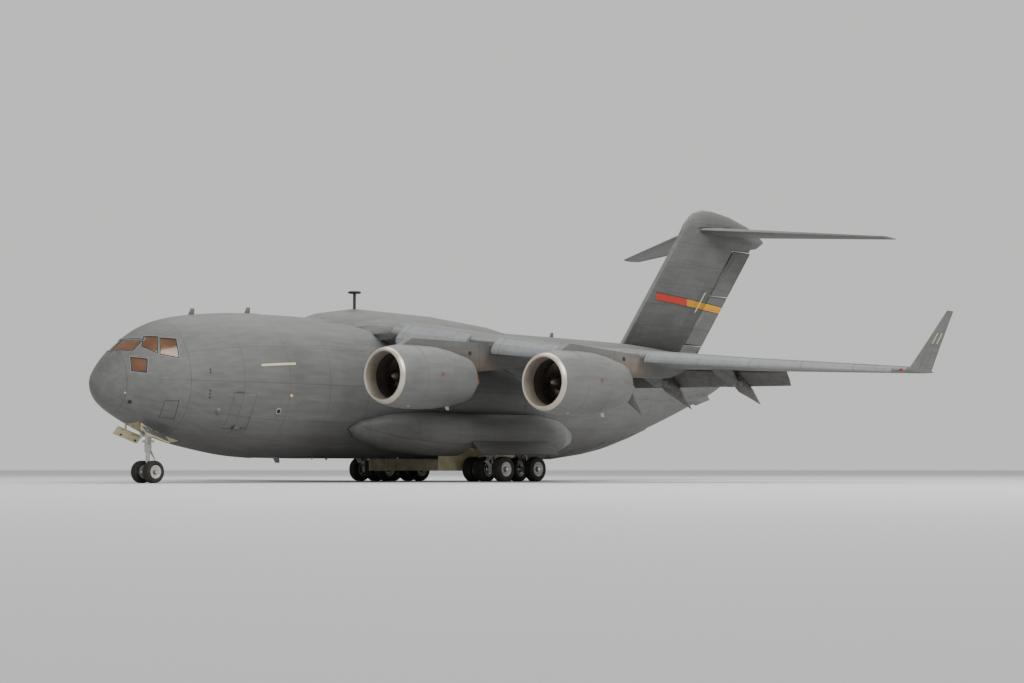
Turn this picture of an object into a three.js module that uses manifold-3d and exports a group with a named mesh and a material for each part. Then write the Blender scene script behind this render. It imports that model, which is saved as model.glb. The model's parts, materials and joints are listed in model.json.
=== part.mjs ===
// Military transport plane with four fan engines, a high wing and a T tail, as a half-size model.
// Lengths below are those of the full-size plane in millimetres, and the group at the end halves them.
// X points to the nose, Y to port and Z up. The origin is on the ground under the middle of the plane.
// A station is a distance aft of the nose. A level is a height above the fuselage's axis.
import * as THREE from 'three';
import { mergeVertices } from 'three/addons/utils/BufferGeometryUtils.js';
import Module from 'manifold-3d';

const wasm = await Module();
wasm.setup();

// Driving dimensions of the whole plane
const SCALE = 0.5;
const LENGTH = 53040;
const HALF_SPAN = 25875;
const AXIS_HEIGHT = 4600;
const WALL = 160;
const AFT_WALL = 90;
const SEAT_GAP = 0.6;
const RUNNING_GAP = 24;

// Fuselage lengthwise: where its three sections meet, and the openings in them
const NOSE_JOINT = 9500;
const AFT_JOINT = 30000;
const FLOOR_LEVEL = -1780;
const FLOOR_THICK = 180;
const RAMP_END = 35400;
const DOOR_END = 41600;
const RAMP_HALF_WIDTH = 2250;

// Wing, tail and gear places
const WING_ROOT = 3300;
const WING_TIP = 25150;
const INBOARD_FLAP = [3950, 10120];
const OUTBOARD_FLAP = [10510, 18480];
const AILERON = [18760, 24340];
const END_GAP = 60;
const SPAR_CHORD = 0.74;
const SHROUD_END = 0.86;
const FLAP_NOSE = 0.755;
const SURFACE_CHORD = 0.77;
const SURFACE_SLOT = 0.02;
const FLAP_ANGLE = 38;
const NOSE_WHEEL_STATION = 3200;
const MAIN_STATIONS = { front: 21650, rear: 24150 };
const MAIN_WHEELS_Y = [5130, 3950, 3120];
const MAIN_STRUT_Y = 4540;
const MAIN_TYRE = { radius: 635, width: 533 };
const NOSE_TYRE = { radius: 508, width: 406 };

const PAINT = {
  body: 0x74777a, belly: 0x6b6e70, lip: 0xc8bcae, door: 0xb0a77f, tyre: 0x17171a, leg: 0xc9c9c4,
};

// Place along the plane
const x = (station) => LENGTH / 2 - station;
const z = (level) => AXIS_HEIGHT + level;
const degrees = (angle) => THREE.MathUtils.degToRad(angle);

// Solids: the meshes are joined and cut as closed bodies
function toSolid(geometry) {
  const bare = geometry.clone();
  for (const name of Object.keys(bare.attributes)) {
    if (name !== 'position') bare.deleteAttribute(name);
  }
  const merged = mergeVertices(bare, 1e-3);
  const mesh = new wasm.Mesh({
    numProp: 3,
    vertProperties: new Float32Array(merged.attributes.position.array),
    triVerts: new Uint32Array(merged.index.array),
  });
  return new wasm.Manifold(mesh);
}

function toGeometry(solid) {
  const mesh = solid.getMesh();
  const geometry = new THREE.BufferGeometry();
  geometry.setAttribute('position', new THREE.BufferAttribute(new Float32Array(mesh.vertProperties), 3));
  geometry.setIndex(new THREE.BufferAttribute(new Uint32Array(mesh.triVerts), 1));
  geometry.computeVertexNormals();
  return geometry;
}

const join = (...solids) => solids.reduce((whole, solid) => whole.add(solid));
const cut = (solid, ...cutters) => cutters.reduce((rest, cutter) => rest.subtract(cutter), solid);

function placed(geometry, px, py, pz, turn = [0, 0, 0]) {
  const place = new THREE.Matrix4().makeRotationFromEuler(new THREE.Euler(...turn.map(degrees)));
  place.setPosition(px, py, pz);
  return toSolid(geometry.clone().applyMatrix4(place));
}

// A box by its stations, its sides and its levels
function box(stations, sides, levels) {
  const size = [stations[1] - stations[0], sides[1] - sides[0], levels[1] - levels[0]];
  const geometry = new THREE.BoxGeometry(...size);
  const middle = [(stations[0] + stations[1]) / 2, (sides[0] + sides[1]) / 2, (levels[0] + levels[1]) / 2];
  return placed(geometry, x(middle[0]), middle[1], z(middle[2]));
}

// A loft through rings with equal numbers of points, closed by a flat cap at each end
function loft(rings) {
  const count = rings[0].length;
  const positions = rings.flat().flatMap((p) => [p.x, p.y, p.z]);
  const faces = [];
  for (let row = 0; row + 1 < rings.length; row += 1) {
    for (let k = 0; k < count; k += 1) {
      const a = row * count + k;
      const b = row * count + ((k + 1) % count);
      faces.push(a, b, b + count, a, b + count, a + count);
    }
  }
  for (const [row, flip] of [[0, true], [rings.length - 1, false]]) {
    const centre = new THREE.Vector3();
    rings[row].forEach((p) => centre.addScaledVector(p, 1 / count));
    const hub = positions.length / 3;
    positions.push(centre.x, centre.y, centre.z);
    for (let k = 0; k < count; k += 1) {
      const a = row * count + k;
      const b = row * count + ((k + 1) % count);
      faces.push(...(flip ? [hub, b, a] : [hub, a, b]));
    }
  }
  const geometry = new THREE.BufferGeometry();
  geometry.setAttribute('position', new THREE.Float32BufferAttribute(positions, 3));
  geometry.setIndex(faces);
  const solid = toSolid(geometry);
  if (solid.volume() > 0) return solid;
  const turned = [];
  for (let k = 0; k < faces.length; k += 3) turned.push(faces[k], faces[k + 2], faces[k + 1]);
  geometry.setIndex(turned);
  return toSolid(geometry);
}

// A body of revolution about a line along X, from [station, radius] rows that start and end on the axis
// or that close on themselves
function turnedAlong(rows, side, level, segments) {
  const points = rows.map(([station, radius]) => new THREE.Vector2(radius, station));
  const geometry = new THREE.LatheGeometry(points, segments);
  const place = new THREE.Matrix4().makeRotationZ(Math.PI / 2);
  place.setPosition(x(0), side, z(level));
  geometry.applyMatrix4(place);
  return upright(geometry);
}

// A body of revolution about a line along Y at a station and height, from [side, radius] rows
function turnedAcross(rows, station, height, segments, start = 0) {
  const points = rows.map(([side, radius]) => new THREE.Vector2(radius, side));
  const geometry = new THREE.LatheGeometry(points, segments, start);
  geometry.translate(x(station), 0, height);
  return upright(geometry);
}

function upright(geometry) {
  const solid = toSolid(geometry);
  if (solid.volume() > 0) return solid;
  const turned = geometry.clone();
  const index = Array.from(geometry.index.array);
  for (let k = 0; k < index.length; k += 3) [index[k + 1], index[k + 2]] = [index[k + 2], index[k + 1]];
  turned.setIndex(index);
  return toSolid(turned);
}

// A round bar between two points
function bar(from, to, radius, segments = 12) {
  const line = new THREE.Vector3().subVectors(to, from);
  const geometry = new THREE.CylinderGeometry(radius, radius, line.length(), segments);
  const upward = new THREE.Vector3(0, 1, 0);
  const turn = new THREE.Quaternion().setFromUnitVectors(upward, line.clone().normalize());
  const place = new THREE.Matrix4().makeRotationFromQuaternion(turn);
  place.setPosition(from.clone().add(to).multiplyScalar(0.5));
  return toSolid(geometry.applyMatrix4(place));
}

const point = (station, side, level) => new THREE.Vector3(x(station), side, z(level));

// A pin along the line between two points, from one distance past the first point to another
function pin(from, to, reach, radius, segments = 8) {
  const line = new THREE.Vector3().subVectors(to, from).normalize();
  const ends = reach.map((distance) => from.clone().addScaledVector(line, distance));
  return bar(ends[0], ends[1], radius, segments);
}

// A round bar along Y at a station and level
const crossBar = (sides, station, level, radius, segments = 12) => turnedAcross(
  [[sides[0], 0], [sides[0], radius], [sides[1], radius], [sides[1], 0]], station, z(level), segments,
);

function mirrored(solid) {
  return solid.mirror([0, 1, 0]);
}

// Fuselage outline by station: half width, top, bottom, level of the widest place, squareness below
const BODY_COLUMNS = ['station', 'half', 'top', 'bottom', 'wide', 'square'];
const BODY_TABLE = [
  [0, 60, -50, -170, -110, 2],
  [250, 500, 370, -850, -150, 2],
  [900, 1000, 1160, -1360, -170, 2],
  [2000, 1660, 2020, -1880, -170, 2],
  [3000, 2160, 2580, -2280, -150, 2],
  [4200, 2670, 2970, -2730, -80, 2],
  [6000, 3120, 3230, -3080, -10, 2],
  [8500, 3420, 3425, -3430, 0, 2],
  [9500, 3430, 3430, -3430, 0, 2],
  [31000, 3430, 3430, -3430, 0, 2],
  [34500, 3360, 3430, -2960, 80, 2.3],
  [38000, 2990, 3400, -1960, 420, 2.5],
  [42000, 2250, 3180, -720, 900, 2.4],
  [45500, 1400, 2800, 300, 1330, 2.2],
  [47800, 600, 2340, 1130, 1640, 2],
  [48700, 60, 1990, 1830, 1900, 2],
];

function bodyAt(station) {
  const rows = BODY_TABLE;
  let k = 0;
  while (k + 2 < rows.length && station > rows[k + 1][0]) k += 1;
  const [a, b] = [rows[k], rows[k + 1]];
  const before = rows[Math.max(k - 1, 0)];
  const after = rows[Math.min(k + 2, rows.length - 1)];
  const t = (station - a[0]) / (b[0] - a[0]);
  const at = {};
  BODY_COLUMNS.forEach((name, c) => {
    const step = b[0] - a[0];
    const slope = (p, q) => (q[0] === p[0] ? 0 : (q[c] - p[c]) / (q[0] - p[0]));
    const flat = slope(a, b);
    const ease = (other) => (other * flat <= 0 ? 0 : (2 * other * flat) / (other + flat));
    const m0 = k === 0 ? flat : ease(slope(before, a));
    const m1 = k + 2 >= rows.length ? flat : ease(slope(b, after));
    const [start, end] = [2 * t ** 3 - 3 * t ** 2 + 1, 3 * t ** 2 - 2 * t ** 3];
    const [leave, arrive] = [t ** 3 - 2 * t ** 2 + t, t ** 3 - t ** 2];
    at[name] = start * a[c] + leave * step * m0 + end * b[c] + arrive * step * m1;
  });
  return at;
}

const BODY_POINTS = 24;

// One ring of the fuselage, inset by a wall thickness
function bodyRing(station, inset = 0) {
  const at = bodyAt(station);
  const ring = [];
  for (let k = 0; k < BODY_POINTS; k += 1) {
    const angle = (2 * Math.PI * k) / BODY_POINTS;
    const [c, s] = [Math.cos(angle), Math.sin(angle)];
    const rise = s > 0 ? at.top - at.wide - inset : at.wide - at.bottom - inset;
    const power = s > 0 ? 1 : 2 / at.square;
    const side = (at.half - inset) * Math.sign(c) * Math.abs(c) ** power;
    const level = at.wide + rise * Math.sign(s) * Math.abs(s) ** power;
    ring.push(point(station, side, level));
  }
  return ring;
}

const bodyLoft = (stations, inset = 0) => loft(stations.map((station) => bodyRing(station, inset)));

const NOSE_STATIONS = [0, 90, 300, 700, 1300, 2000, 2800, 3600, 4700, 6200, 8000];
const CABIN_STATIONS = [950, 1300, 2000, 2800, 3600, 4700, 6200, 8000];
const AFT_STATIONS = [
  31500, 33000, 34500, 36200, 38000, 40000, 42000, 43800, 45500, 46800, 47800, 48400, 48700,
];

// Cockpit windows as prisms seen from the side or from the front, by station and level
const FRONT_PANE = { stations: [1000, 2300], sides: [60, 880], levels: [1300, 1760] };
const SIDE_PANES = [
  [[2250, 1930], [2700, 1930], [2430, 1180], [1980, 1490]],
  [[2790, 1870], [3360, 1840], [3230, 1010], [2540, 1150]],
  [[1400, 960], [1960, 890], [1850, 310], [1330, 380]],
];
const PANE_SIDES = [700, 3600];
const GLASS_BOX = { stations: [1000, 3600], half: 3000, levels: [150, 2150] };
const GLASS_THICK = 60;

// A prism along Y from an outline of [station, level] pairs
function prismAcross(outline, sides) {
  const shape = new THREE.Shape(outline.map(([station, level]) => new THREE.Vector2(x(station), z(level))));
  const geometry = new THREE.ExtrudeGeometry(shape, { depth: sides[1] - sides[0], bevelEnabled: false });
  const place = new THREE.Matrix4().makeRotationX(Math.PI / 2);
  place.setPosition(0, sides[1], 0);
  return toSolid(geometry.applyMatrix4(place));
}

function bothSides(make) {
  const port = make();
  return [port, mirrored(port)];
}

const CREW_DOOR = { stations: [5680, 6870], levels: [-2120, -520] };
const CREW_HINGE = { side: 2445, level: -2108, radius: 30, clear: 42, knuckle: [6250, 6600], lug: 110 };

function windowCutters() {
  const { stations, sides, levels } = FRONT_PANE;
  const front = bothSides(() => box(stations, sides, levels));
  const side = SIDE_PANES.flatMap((outline) => bothSides(() => prismAcross(outline, PANE_SIDES)));
  return [...front, ...side];
}

const crewDoorCutter = (slack) => {
  const [stations, levels] = [CREW_DOOR.stations, CREW_DOOR.levels].map(([low, high]) => (
    [low + slack, high - slack]
  ));
  return box(stations, [1200, 3600], levels);
};

function noseShell() {
  const outer = bodyLoft([...NOSE_STATIONS, NOSE_JOINT - SEAT_GAP / 2]);
  const inner = bodyLoft([...CABIN_STATIONS, NOSE_JOINT + 100], WALL);
  return outer.subtract(inner);
}

const NOSE_BAY = { stations: [2150, 4450], half: 620, roof: -1000 };
const BAY_WALL = 80;
const BELOW = -3600;

// A bar along X at the crew door's hinge line
function hingeBar(stations, radius) {
  const { side, level } = CREW_HINGE;
  return bar(point(stations[0], side, level), point(stations[1], side, level), radius, 10);
}

function noseSection() {
  const { stations, half, roof } = NOSE_BAY;
  const bay = box(stations, [-half, half], [BELOW, roof]);
  const wallBox = box(
    [stations[0] - BAY_WALL, stations[1] + BAY_WALL],
    [-half - BAY_WALL, half + BAY_WALL],
    [BELOW, roof + BAY_WALL],
  );
  const within = bodyLoft([...NOSE_STATIONS, NOSE_JOINT], 1);
  const shell = cut(
    join(noseShell(), wallBox.intersect(within)), bay, crewDoorCutter(0), ...windowCutters(),
  );
  const { side, level, radius, clear, knuckle, lug } = CREW_HINGE;
  const around = hingeBar([knuckle[0] - RUNNING_GAP / 2, knuckle[1] + RUNNING_GAP / 2], clear);
  const faces = [knuckle[0] - SEAT_GAP, knuckle[1] + SEAT_GAP];
  const lugs = [[faces[0] - lug, faces[0]], [faces[1], knuckle[1] + lug]];
  const carriers = lugs.map((ends) => join(
    hingeBar(ends, radius),
    box(ends, [side - 300, side], [level - 75, level - 16]),
  ));
  return join(cut(shell, around), ...carriers);
}

function crewDoor() {
  const { side, level, knuckle, clear, radius, lug } = CREW_HINGE;
  const leaf = noseShell().intersect(crewDoorCutter(RUNNING_GAP / 2));
  const beside = [[knuckle[0] - lug - 20, knuckle[0]], [knuckle[1], knuckle[1] + lug + 20]];
  const arm = box(knuckle, [side - 240, side], [level + 8, level + 58]);
  return join(cut(leaf, ...beside.map((ends) => hingeBar(ends, clear))), arm, hingeBar(knuckle, radius));
}

function cockpitGlass() {
  const outer = bodyLoft(CABIN_STATIONS, WALL + SEAT_GAP);
  const inner = bodyLoft(CABIN_STATIONS, WALL + GLASS_THICK);
  const { stations, half, levels } = GLASS_BOX;
  return outer.subtract(inner).intersect(box(stations, [-half, half], levels));
}

// Flight deck: floor, rear bulkhead, instrument panel, console and four seats in one piece
function flightDeck() {
  const inside = bodyLoft(CABIN_STATIONS, WALL + SEAT_GAP);
  const insideGlass = bodyLoft(CABIN_STATIONS, WALL + GLASS_THICK + SEAT_GAP);
  const floor = box([1200, 7600], [-3400, 3400], [-420, -320]);
  const bulkhead = box([7500, 7600], [-3400, 3400], [-400, 3400]);
  const door = box([7400, 7700], [-400, 400], [-300, 1700]);
  const panel = box([1500, 1650], [-1150, 1150], [-350, 560]);
  const console = box([1600, 3100], [-230, 230], [-350, 250]);
  const seats = [[2500, 620], [2500, -620], [4500, 900], [4500, -900]].flatMap(([station, side]) => [
    box([station, station + 560], [side - 270, side + 270], [-350, 130]),
    box([station + 470, station + 600], [side - 270, side + 270], [-350, 1000]),
  ]);
  const fittings = join(panel, console, ...seats).intersect(insideGlass);
  return cut(join(join(floor, bulkhead).intersect(inside), fittings), door);
}

function centreSection() {
  const ends = [NOSE_JOINT + SEAT_GAP / 2, AFT_JOINT - SEAT_GAP / 2];
  const outer = bodyLoft(ends);
  const inner = bodyLoft([ends[0] - 100, ends[1] + 100], WALL);
  return cut(outer.subtract(inner), wingCentre(SEAT_GAP));
}

// Aft section: a shell with the ramp and door openings below, closed towards the tail cone
function aftShell() {
  const outer = bodyLoft([AFT_JOINT + SEAT_GAP / 2, ...AFT_STATIONS]);
  const inner = bodyLoft([AFT_JOINT - 100, ...AFT_STATIONS.slice(0, 10)], AFT_WALL);
  return outer.subtract(inner);
}

const rampBlock = (slack) => box(
  [AFT_JOINT + 100 + slack, RAMP_END - slack],
  [-RAMP_HALF_WIDTH + slack, RAMP_HALF_WIDTH - slack],
  [BELOW, FLOOR_LEVEL - slack],
);

const DOOR_HALF_FRONT = 2250;
const DOOR_HALF_REAR = 1500;
const DOOR_TOP = -300;

function cargoDoorBlock(slack) {
  const outline = [
    [RAMP_END + slack, DOOR_HALF_FRONT - slack],
    [DOOR_END - slack, DOOR_HALF_REAR - slack],
    [DOOR_END - slack, -DOOR_HALF_REAR + slack],
    [RAMP_END + slack, -DOOR_HALF_FRONT + slack],
  ];
  const shape = new THREE.Shape(outline.map(([station, side]) => new THREE.Vector2(x(station), side)));
  const geometry = new THREE.ExtrudeGeometry(shape, { depth: DOOR_TOP - BELOW, bevelEnabled: false });
  return placed(geometry, 0, 0, z(BELOW));
}

// Strakes beside the tail: the line of the root and how far the blade stands out and down
const STRAKE_ROOT = [[40700, 2380, 150], [44900, 1240, 620]];
const STRAKE_TIP = [[41900, 2620, -180], [44700, 1600, 240]];
const STRAKE_THICK = 60;

function strake() {
  const corners = [STRAKE_ROOT[0], STRAKE_TIP[0], STRAKE_TIP[1], STRAKE_ROOT[1]];
  const inner = [[40900, 2050, 400], [44900, 950, 850]];
  const outline = [...corners, inner[1], inner[0]].map((corner) => point(...corner));
  const across = new THREE.Vector3(0, 0.75, 0.66).multiplyScalar(STRAKE_THICK / 2);
  return loft([outline.map((p) => p.clone().sub(across)), outline.map((p) => p.clone().add(across))]);
}

// Hinges of the ramp and the cargo door
const RAMP_HINGE = { station: 30160, level: -3400, radius: 40, clear: 52, half: 200, lug: 330 };
const DOOR_HINGE = { station: 41576, level: -450, radius: 45, half: 1100, lug: 1180 };
const RAMP_SWEEP = 6610;

// Lugs for the door's hinge tube, standing on the shell behind the door
function doorLugs() {
  const { station, level, radius, half, lug } = DOOR_HINGE;
  const outline = [
    [station - radius, level + radius], [station + 180, level + radius], [station + 180, level - 600],
    [DOOR_END + 20, level - 600], [DOOR_END + 20, level - radius], [station - radius, level - radius],
  ];
  const within = bodyLoft([40000, 42000, 43800], 20);
  return bothSides(() => join(
    crossBar([half + SEAT_GAP, lug], station, level, radius),
    prismAcross(outline, [half + SEAT_GAP, lug]),
  ).intersect(within));
}

function aftSection() {
  const { station, level, radius, clear, half, lug } = RAMP_HINGE;
  const shell = cut(aftShell(), rampBlock(0), cargoDoorBlock(0));
  const notch = crossBar([-half - 12, half + 12], station, level, clear);
  const lugs = bothSides(() => join(
    crossBar([half + SEAT_GAP, lug], station, level, radius),
    box([AFT_JOINT + 40, station - 20], [half + SEAT_GAP, lug], [level - radius, level + radius]),
  ));
  const skin = bodyLoft([40000, 42000, 43800, 45500, 46800], AFT_WALL / 2);
  const strakes = bothSides(() => cut(strake(), skin));
  return join(cut(shell, notch), ...lugs, ...doorLugs(), ...strakes);
}

const RAMP_STATIONS = [AFT_JOINT, 31500, 33000, 34500, RAMP_END + 100];

function ramp() {
  const { station, level, radius, clear, half, lug } = RAMP_HINGE;
  const wedge = bodyLoft(RAMP_STATIONS).intersect(rampBlock(RUNNING_GAP));
  const hollow = box([AFT_JOINT + 500, RAMP_END - 500], [-1950, 1950], [BELOW, FLOOR_LEVEL - 180]);
  const inside = hollow.intersect(bodyLoft(RAMP_STATIONS, AFT_WALL));
  const mouth = box([RAMP_END - 600, RAMP_END + 100], [-1500, 1500], [-2480, -2180]);
  const sweep = crossBar([-3000, 3000], DOOR_HINGE.station, DOOR_HINGE.level, RAMP_SWEEP, 96);
  const beside = bothSides(() => join(
    crossBar([half, lug + 12], station, level, clear),
    box([station - 200, station - 10], [half, lug + 12], [level - clear, level + clear]),
  ));
  return join(cut(wedge, inside, mouth, sweep, ...beside), crossBar([-half, half], station, level, radius));
}

function cargoDoor() {
  const { station, level, radius, half } = DOOR_HINGE;
  const outline = [
    [station - 330, level + 30], [station, level + radius - 5], [station, level - radius + 5],
    [station - 40, level - 350], [station - 330, level - 450],
  ];
  const arms = bothSides(() => prismAcross(outline, [900, 1000])).map((arm) => (
    arm.intersect(bodyLoft([40000, 42000, 43800], 20)).intersect(cargoDoorBlock(RUNNING_GAP))
  ));
  const tube = crossBar([-half, half], station, level, radius);
  return join(aftShell().intersect(cargoDoorBlock(RUNNING_GAP)), tube, ...arms);
}

function cargoFloor() {
  const inside = bodyLoft([8000, NOSE_JOINT + 100, AFT_JOINT - 100], WALL + SEAT_GAP);
  const levels = [FLOOR_LEVEL - FLOOR_THICK, FLOOR_LEVEL];
  const top = box([NOSE_JOINT - 800, AFT_JOINT - 200], [-3300, 3300], levels);
  const keels = [-1500, -500, 500, 1500].map((side) => (
    box([NOSE_JOINT + 100, AFT_JOINT - 400], [side - 50, side + 50], [-3300, FLOOR_LEVEL - 50])
  ));
  return join(top, ...keels).intersect(inside);
}

// Wing by side: leading edge, trailing edge, level of the quarter chord, how much lower the trailing edge
// lies than the leading edge, and greatest thickness
const WING_TABLE = [
  { side: 0, front: 13600, rear: 26000, level: 2500, wash: 960, thick: 1600 },
  { side: 3400, front: 15350, rear: 26000, level: 2450, wash: 950, thick: 1540 },
  { side: 10200, front: 18960, rear: 26000, level: 1600, wash: 600, thick: 850 },
  { side: 18600, front: 23420, rear: 27967, level: 1000, wash: 300, thick: 500 },
  { side: WING_TIP, front: 26900, rear: 29500, level: 600, wash: 60, thick: 285 },
];

function mixRows(table, name, place) {
  let k = 0;
  while (k + 2 < table.length && place > table[k + 1][name]) k += 1;
  const [a, b] = [table[k], table[k + 1]];
  const t = (place - a[name]) / (b[name] - a[name]);
  const row = {};
  for (const key of Object.keys(a)) row[key] = a[key] + (b[key] - a[key]) * t;
  return row;
}

function wingAt(side) {
  const row = mixRows(WING_TABLE, 'side', side);
  return { ...row, chord: row.rear - row.front };
}

const TRAILING_EDGE = 14;

// Half thickness of the section at a fraction of its chord
function halfThick(at, fraction) {
  const c = fraction;
  const form = 0.2969 * Math.sqrt(c) - 0.126 * c - 0.3516 * c ** 2 + 0.2843 * c ** 3 - 0.1036 * c ** 4;
  return 5 * at.thick * form + TRAILING_EDGE * c;
}

const UPPER_SHARE = 1.08;
const LOWER_SHARE = 0.92;

// A point of the section at a fraction of the chord and a height above the chord line
function chordPoint(at, fraction, rise = 0) {
  const level = at.level - (fraction - 0.25) * (at.wash ?? 0) + rise;
  return point(at.front + fraction * at.chord, at.side, level);
}

// The part of the section between two chord fractions, as a ring of points
function sectionRing(at, from, to, grow = 0, count = 7) {
  const upper = [];
  const lower = [];
  for (let k = 0; k <= count; k += 1) {
    const spread = from === 0 ? 1 - Math.cos((Math.PI / 2) * (k / count)) : k / count;
    const fraction = from + (to - from) * spread;
    const half = halfThick(at, fraction) + grow;
    const stretch = (grow * ((2 * (fraction - from)) / (to - from) - 1)) / at.chord;
    upper.push(chordPoint(at, fraction + stretch, half * UPPER_SHARE));
    lower.push(chordPoint(at, fraction + stretch, -half * LOWER_SHARE));
  }
  if (from === 0 && grow === 0) lower.shift();
  return [...upper, ...lower.reverse()];
}

function wingRows(sides, ring) {
  const between = WING_TABLE.map((row) => row.side).filter((side) => side > sides[0] && side < sides[1]);
  return loft([sides[0], ...between, sides[1]].map((side) => ring(wingAt(side))));
}

const wingSlice = (sides, from, to, grow = 0) => wingRows(sides, (at) => sectionRing(at, from, to, grow, 3));

// A slice of the section behind the spar, with a narrower root that reaches into the part in front of it
const ROOT_REACH = 0.03;
const ROOT_SHARE = 0.6;

function rootedRing(at, from, to, grow = 0) {
  const outer = sectionRing(at, from + 0.0005, to, grow, 3);
  const half = ROOT_SHARE * halfThick(at, from - ROOT_REACH) + grow;
  const rises = [half * UPPER_SHARE, -half * LOWER_SHARE];
  const root = rises.map((rise) => chordPoint(at, from - ROOT_REACH, rise));
  return [root[0], ...outer, root[1]];
}

const rootedSlice = (sides, to) => wingRows(sides, (at) => rootedRing(at, SPAR_CHORD, to));

// Wing centre: the box through the crown of the fuselage with its fairing
const CENTRE_HALF = WING_ROOT - SEAT_GAP / 2;
const HUMP_TABLE = [
  { station: 12200, half: 500, top: 3300 },
  { station: 13600, half: 1500, top: 3720 },
  { station: 16000, half: 2350, top: 4080 },
  { station: 21000, half: 2500, top: 4000 },
  { station: 25500, half: 1900, top: 3700 },
  { station: 28600, half: 500, top: 3300 },
];
const HUMP_BASE = 1900;

function wingCentre(grow = 0) {
  const side = CENTRE_HALF + grow;
  const at = { ...wingAt(WING_ROOT), side: 0 };
  const rows = [-side, side].map((place) => sectionRing({ ...at, side: place }, 0, SPAR_CHORD, grow));
  const hump = HUMP_TABLE.map(({ station, half, top }) => {
    const ring = [];
    for (let k = 0; k <= 12; k += 1) {
      const angle = (Math.PI * k) / 12;
      const rise = (top - HUMP_BASE + grow) * Math.sin(angle) ** 0.8;
      ring.push(point(station, (half + grow) * Math.cos(angle), HUMP_BASE + rise));
    }
    return ring;
  });
  const skin = bodyLoft([11000, 29000], WALL / 2 + grow);
  return join(loft(rows), cut(loft(hump), skin));
}

// Winglet rows: station of the front edge, chord, side, level and thickness
const WINGLET_TABLE = [
  { front: 27250, chord: 2200, side: 25060, level: 600, thick: 170 },
  { front: 28150, chord: 1500, side: 25420, level: 1750, thick: 120 },
  { front: 29600, chord: 620, side: HALF_SPAN - 40, level: 3450, thick: 55 },
];

function bladeRing({ front, chord, side, level, thick }) {
  const ring = [];
  for (let k = 0; k < 10; k += 1) {
    const angle = (2 * Math.PI * k) / 10;
    const half = (thick / 2) * Math.sin(angle) * (1 - 0.45 * Math.cos(angle));
    ring.push(point(front + (chord / 2) * (1 + Math.cos(angle)), side + half, level));
  }
  return ring;
}

const winglet = () => loft(WINGLET_TABLE.map(bladeRing));

// Slats, set forward and down as for landing and carried on tracks
const SLATS = [[3950, 6900], [8100, 13400], [14600, 24600]];
const SLAT_MOVE = { back: -0.09, up: -0.015, turn: 25 };
const SLAT_REACH = 0.11;
const TRACK_RADIUS = 38;

// A point of the slat at a fraction of the chord, with a share of the section's half thickness
function slatPoint(at, fraction, share) {
  const start = { u: SLAT_REACH, v: (UPPER_SHARE * halfThick(at, SLAT_REACH)) / at.chord };
  const u = fraction - start.u;
  const v = (share * halfThick(at, fraction)) / at.chord - start.v;
  const [c, s] = [Math.cos(degrees(SLAT_MOVE.turn)), Math.sin(degrees(SLAT_MOVE.turn))];
  const back = start.u + u * c - v * s + SLAT_MOVE.back;
  const up = start.v + v * c + u * s + SLAT_MOVE.up;
  return chordPoint(at, back, up * at.chord);
}

const SLAT_OUTLINE = [
  [0.11, 1.08], [0.05, 1.08], [0.015, 1.08], [0.003, 0.8], [0.003, -0.8], [0.03, -0.92], [0.045, -0.1],
  [0.08, 0.9],
];

function slat(sides) {
  const outline = (at) => SLAT_OUTLINE.map(([fraction, share]) => slatPoint(at, fraction, share));
  const count = Math.max(2, Math.round((sides[1] - sides[0]) / 2600));
  const tracks = [];
  for (let k = 0; k < count; k += 1) {
    const at = wingAt(sides[0] + ((sides[1] - sides[0]) * (k + 0.5)) / count);
    tracks.push(bar(chordPoint(at, 0.06), slatPoint(at, 0.02, 0), TRACK_RADIUS, 4));
  }
  return join(wingRows(sides, outline), ...tracks);
}

// Engines: side, station of the inlet lip and level of the axis
const ENGINES = {
  inboard: { side: 7490, lip: 10600, level: 300 },
  outboard: { side: 13980, lip: 14200, level: -60 },
};
const ENGINE_SEGMENTS = 20;
const CORE_SEGMENTS = 12;
const NACELLE_OUTSIDE = [[90, 1230], [600, 1400], [1600, 1490], [3200, 1460], [5300, 1090]];
const NACELLE_INSIDE = [[5300, 1050], [3600, 1170], [1300, 1050], [400, 1050], [0, 1150]];
const FAN_REAR = 1560;
const CORE_OUTLINE = [
  [FAN_REAR + SEAT_GAP, 0], [FAN_REAR + SEAT_GAP, 330], [2400, 640], [4000, 760], [5400, 630], [6400, 400],
  [6400, 0],
];
const FAN_STATIONS = [1180, FAN_REAR];
const FAN_RADIUS = 1000;
const FAN_BLADES = 12;
const STRUTS = 4;

const shifted = (rows, by) => rows.map(([station, radius]) => [station + by, radius]);

function nacelle({ side, lip, level }) {
  const shell = turnedAlong(
    shifted([...NACELLE_OUTSIDE, ...NACELLE_INSIDE, NACELLE_OUTSIDE[0]], lip), side, level, ENGINE_SEGMENTS,
  );
  const core = turnedAlong(shifted(CORE_OUTLINE, lip), side, level, CORE_SEGMENTS);
  const vanes = [];
  for (let k = 0; k < STRUTS; k += 1) {
    const vane = new THREE.BoxGeometry(500, 60, 640);
    vane.translate(0, 0, 810);
    vanes.push(placed(vane, x(lip + 2300), side, z(level), [(360 * k) / STRUTS, 0, 0]));
  }
  return join(shell, core, ...vanes);
}

function fan({ side, lip, level }) {
  const [front, rear] = FAN_STATIONS;
  const hubRows = [[620, 0], [820, 190], [front, 330], [rear, 400], [rear, 0]];
  const hub = turnedAlong(shifted(hubRows, lip), side, level, FAN_BLADES);
  const blades = [];
  for (let k = 0; k < FAN_BLADES; k += 1) {
    const blade = new THREE.BoxGeometry(300, 46, FAN_RADIUS - 300);
    blade.rotateZ(degrees(38));
    blade.translate(0, 0, 300 + (FAN_RADIUS - 300) / 2);
    blades.push(placed(blade, x(lip + (front + rear) / 2), side, z(level), [(360 * k) / FAN_BLADES, 0, 0]));
  }
  return join(hub, ...blades);
}

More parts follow.
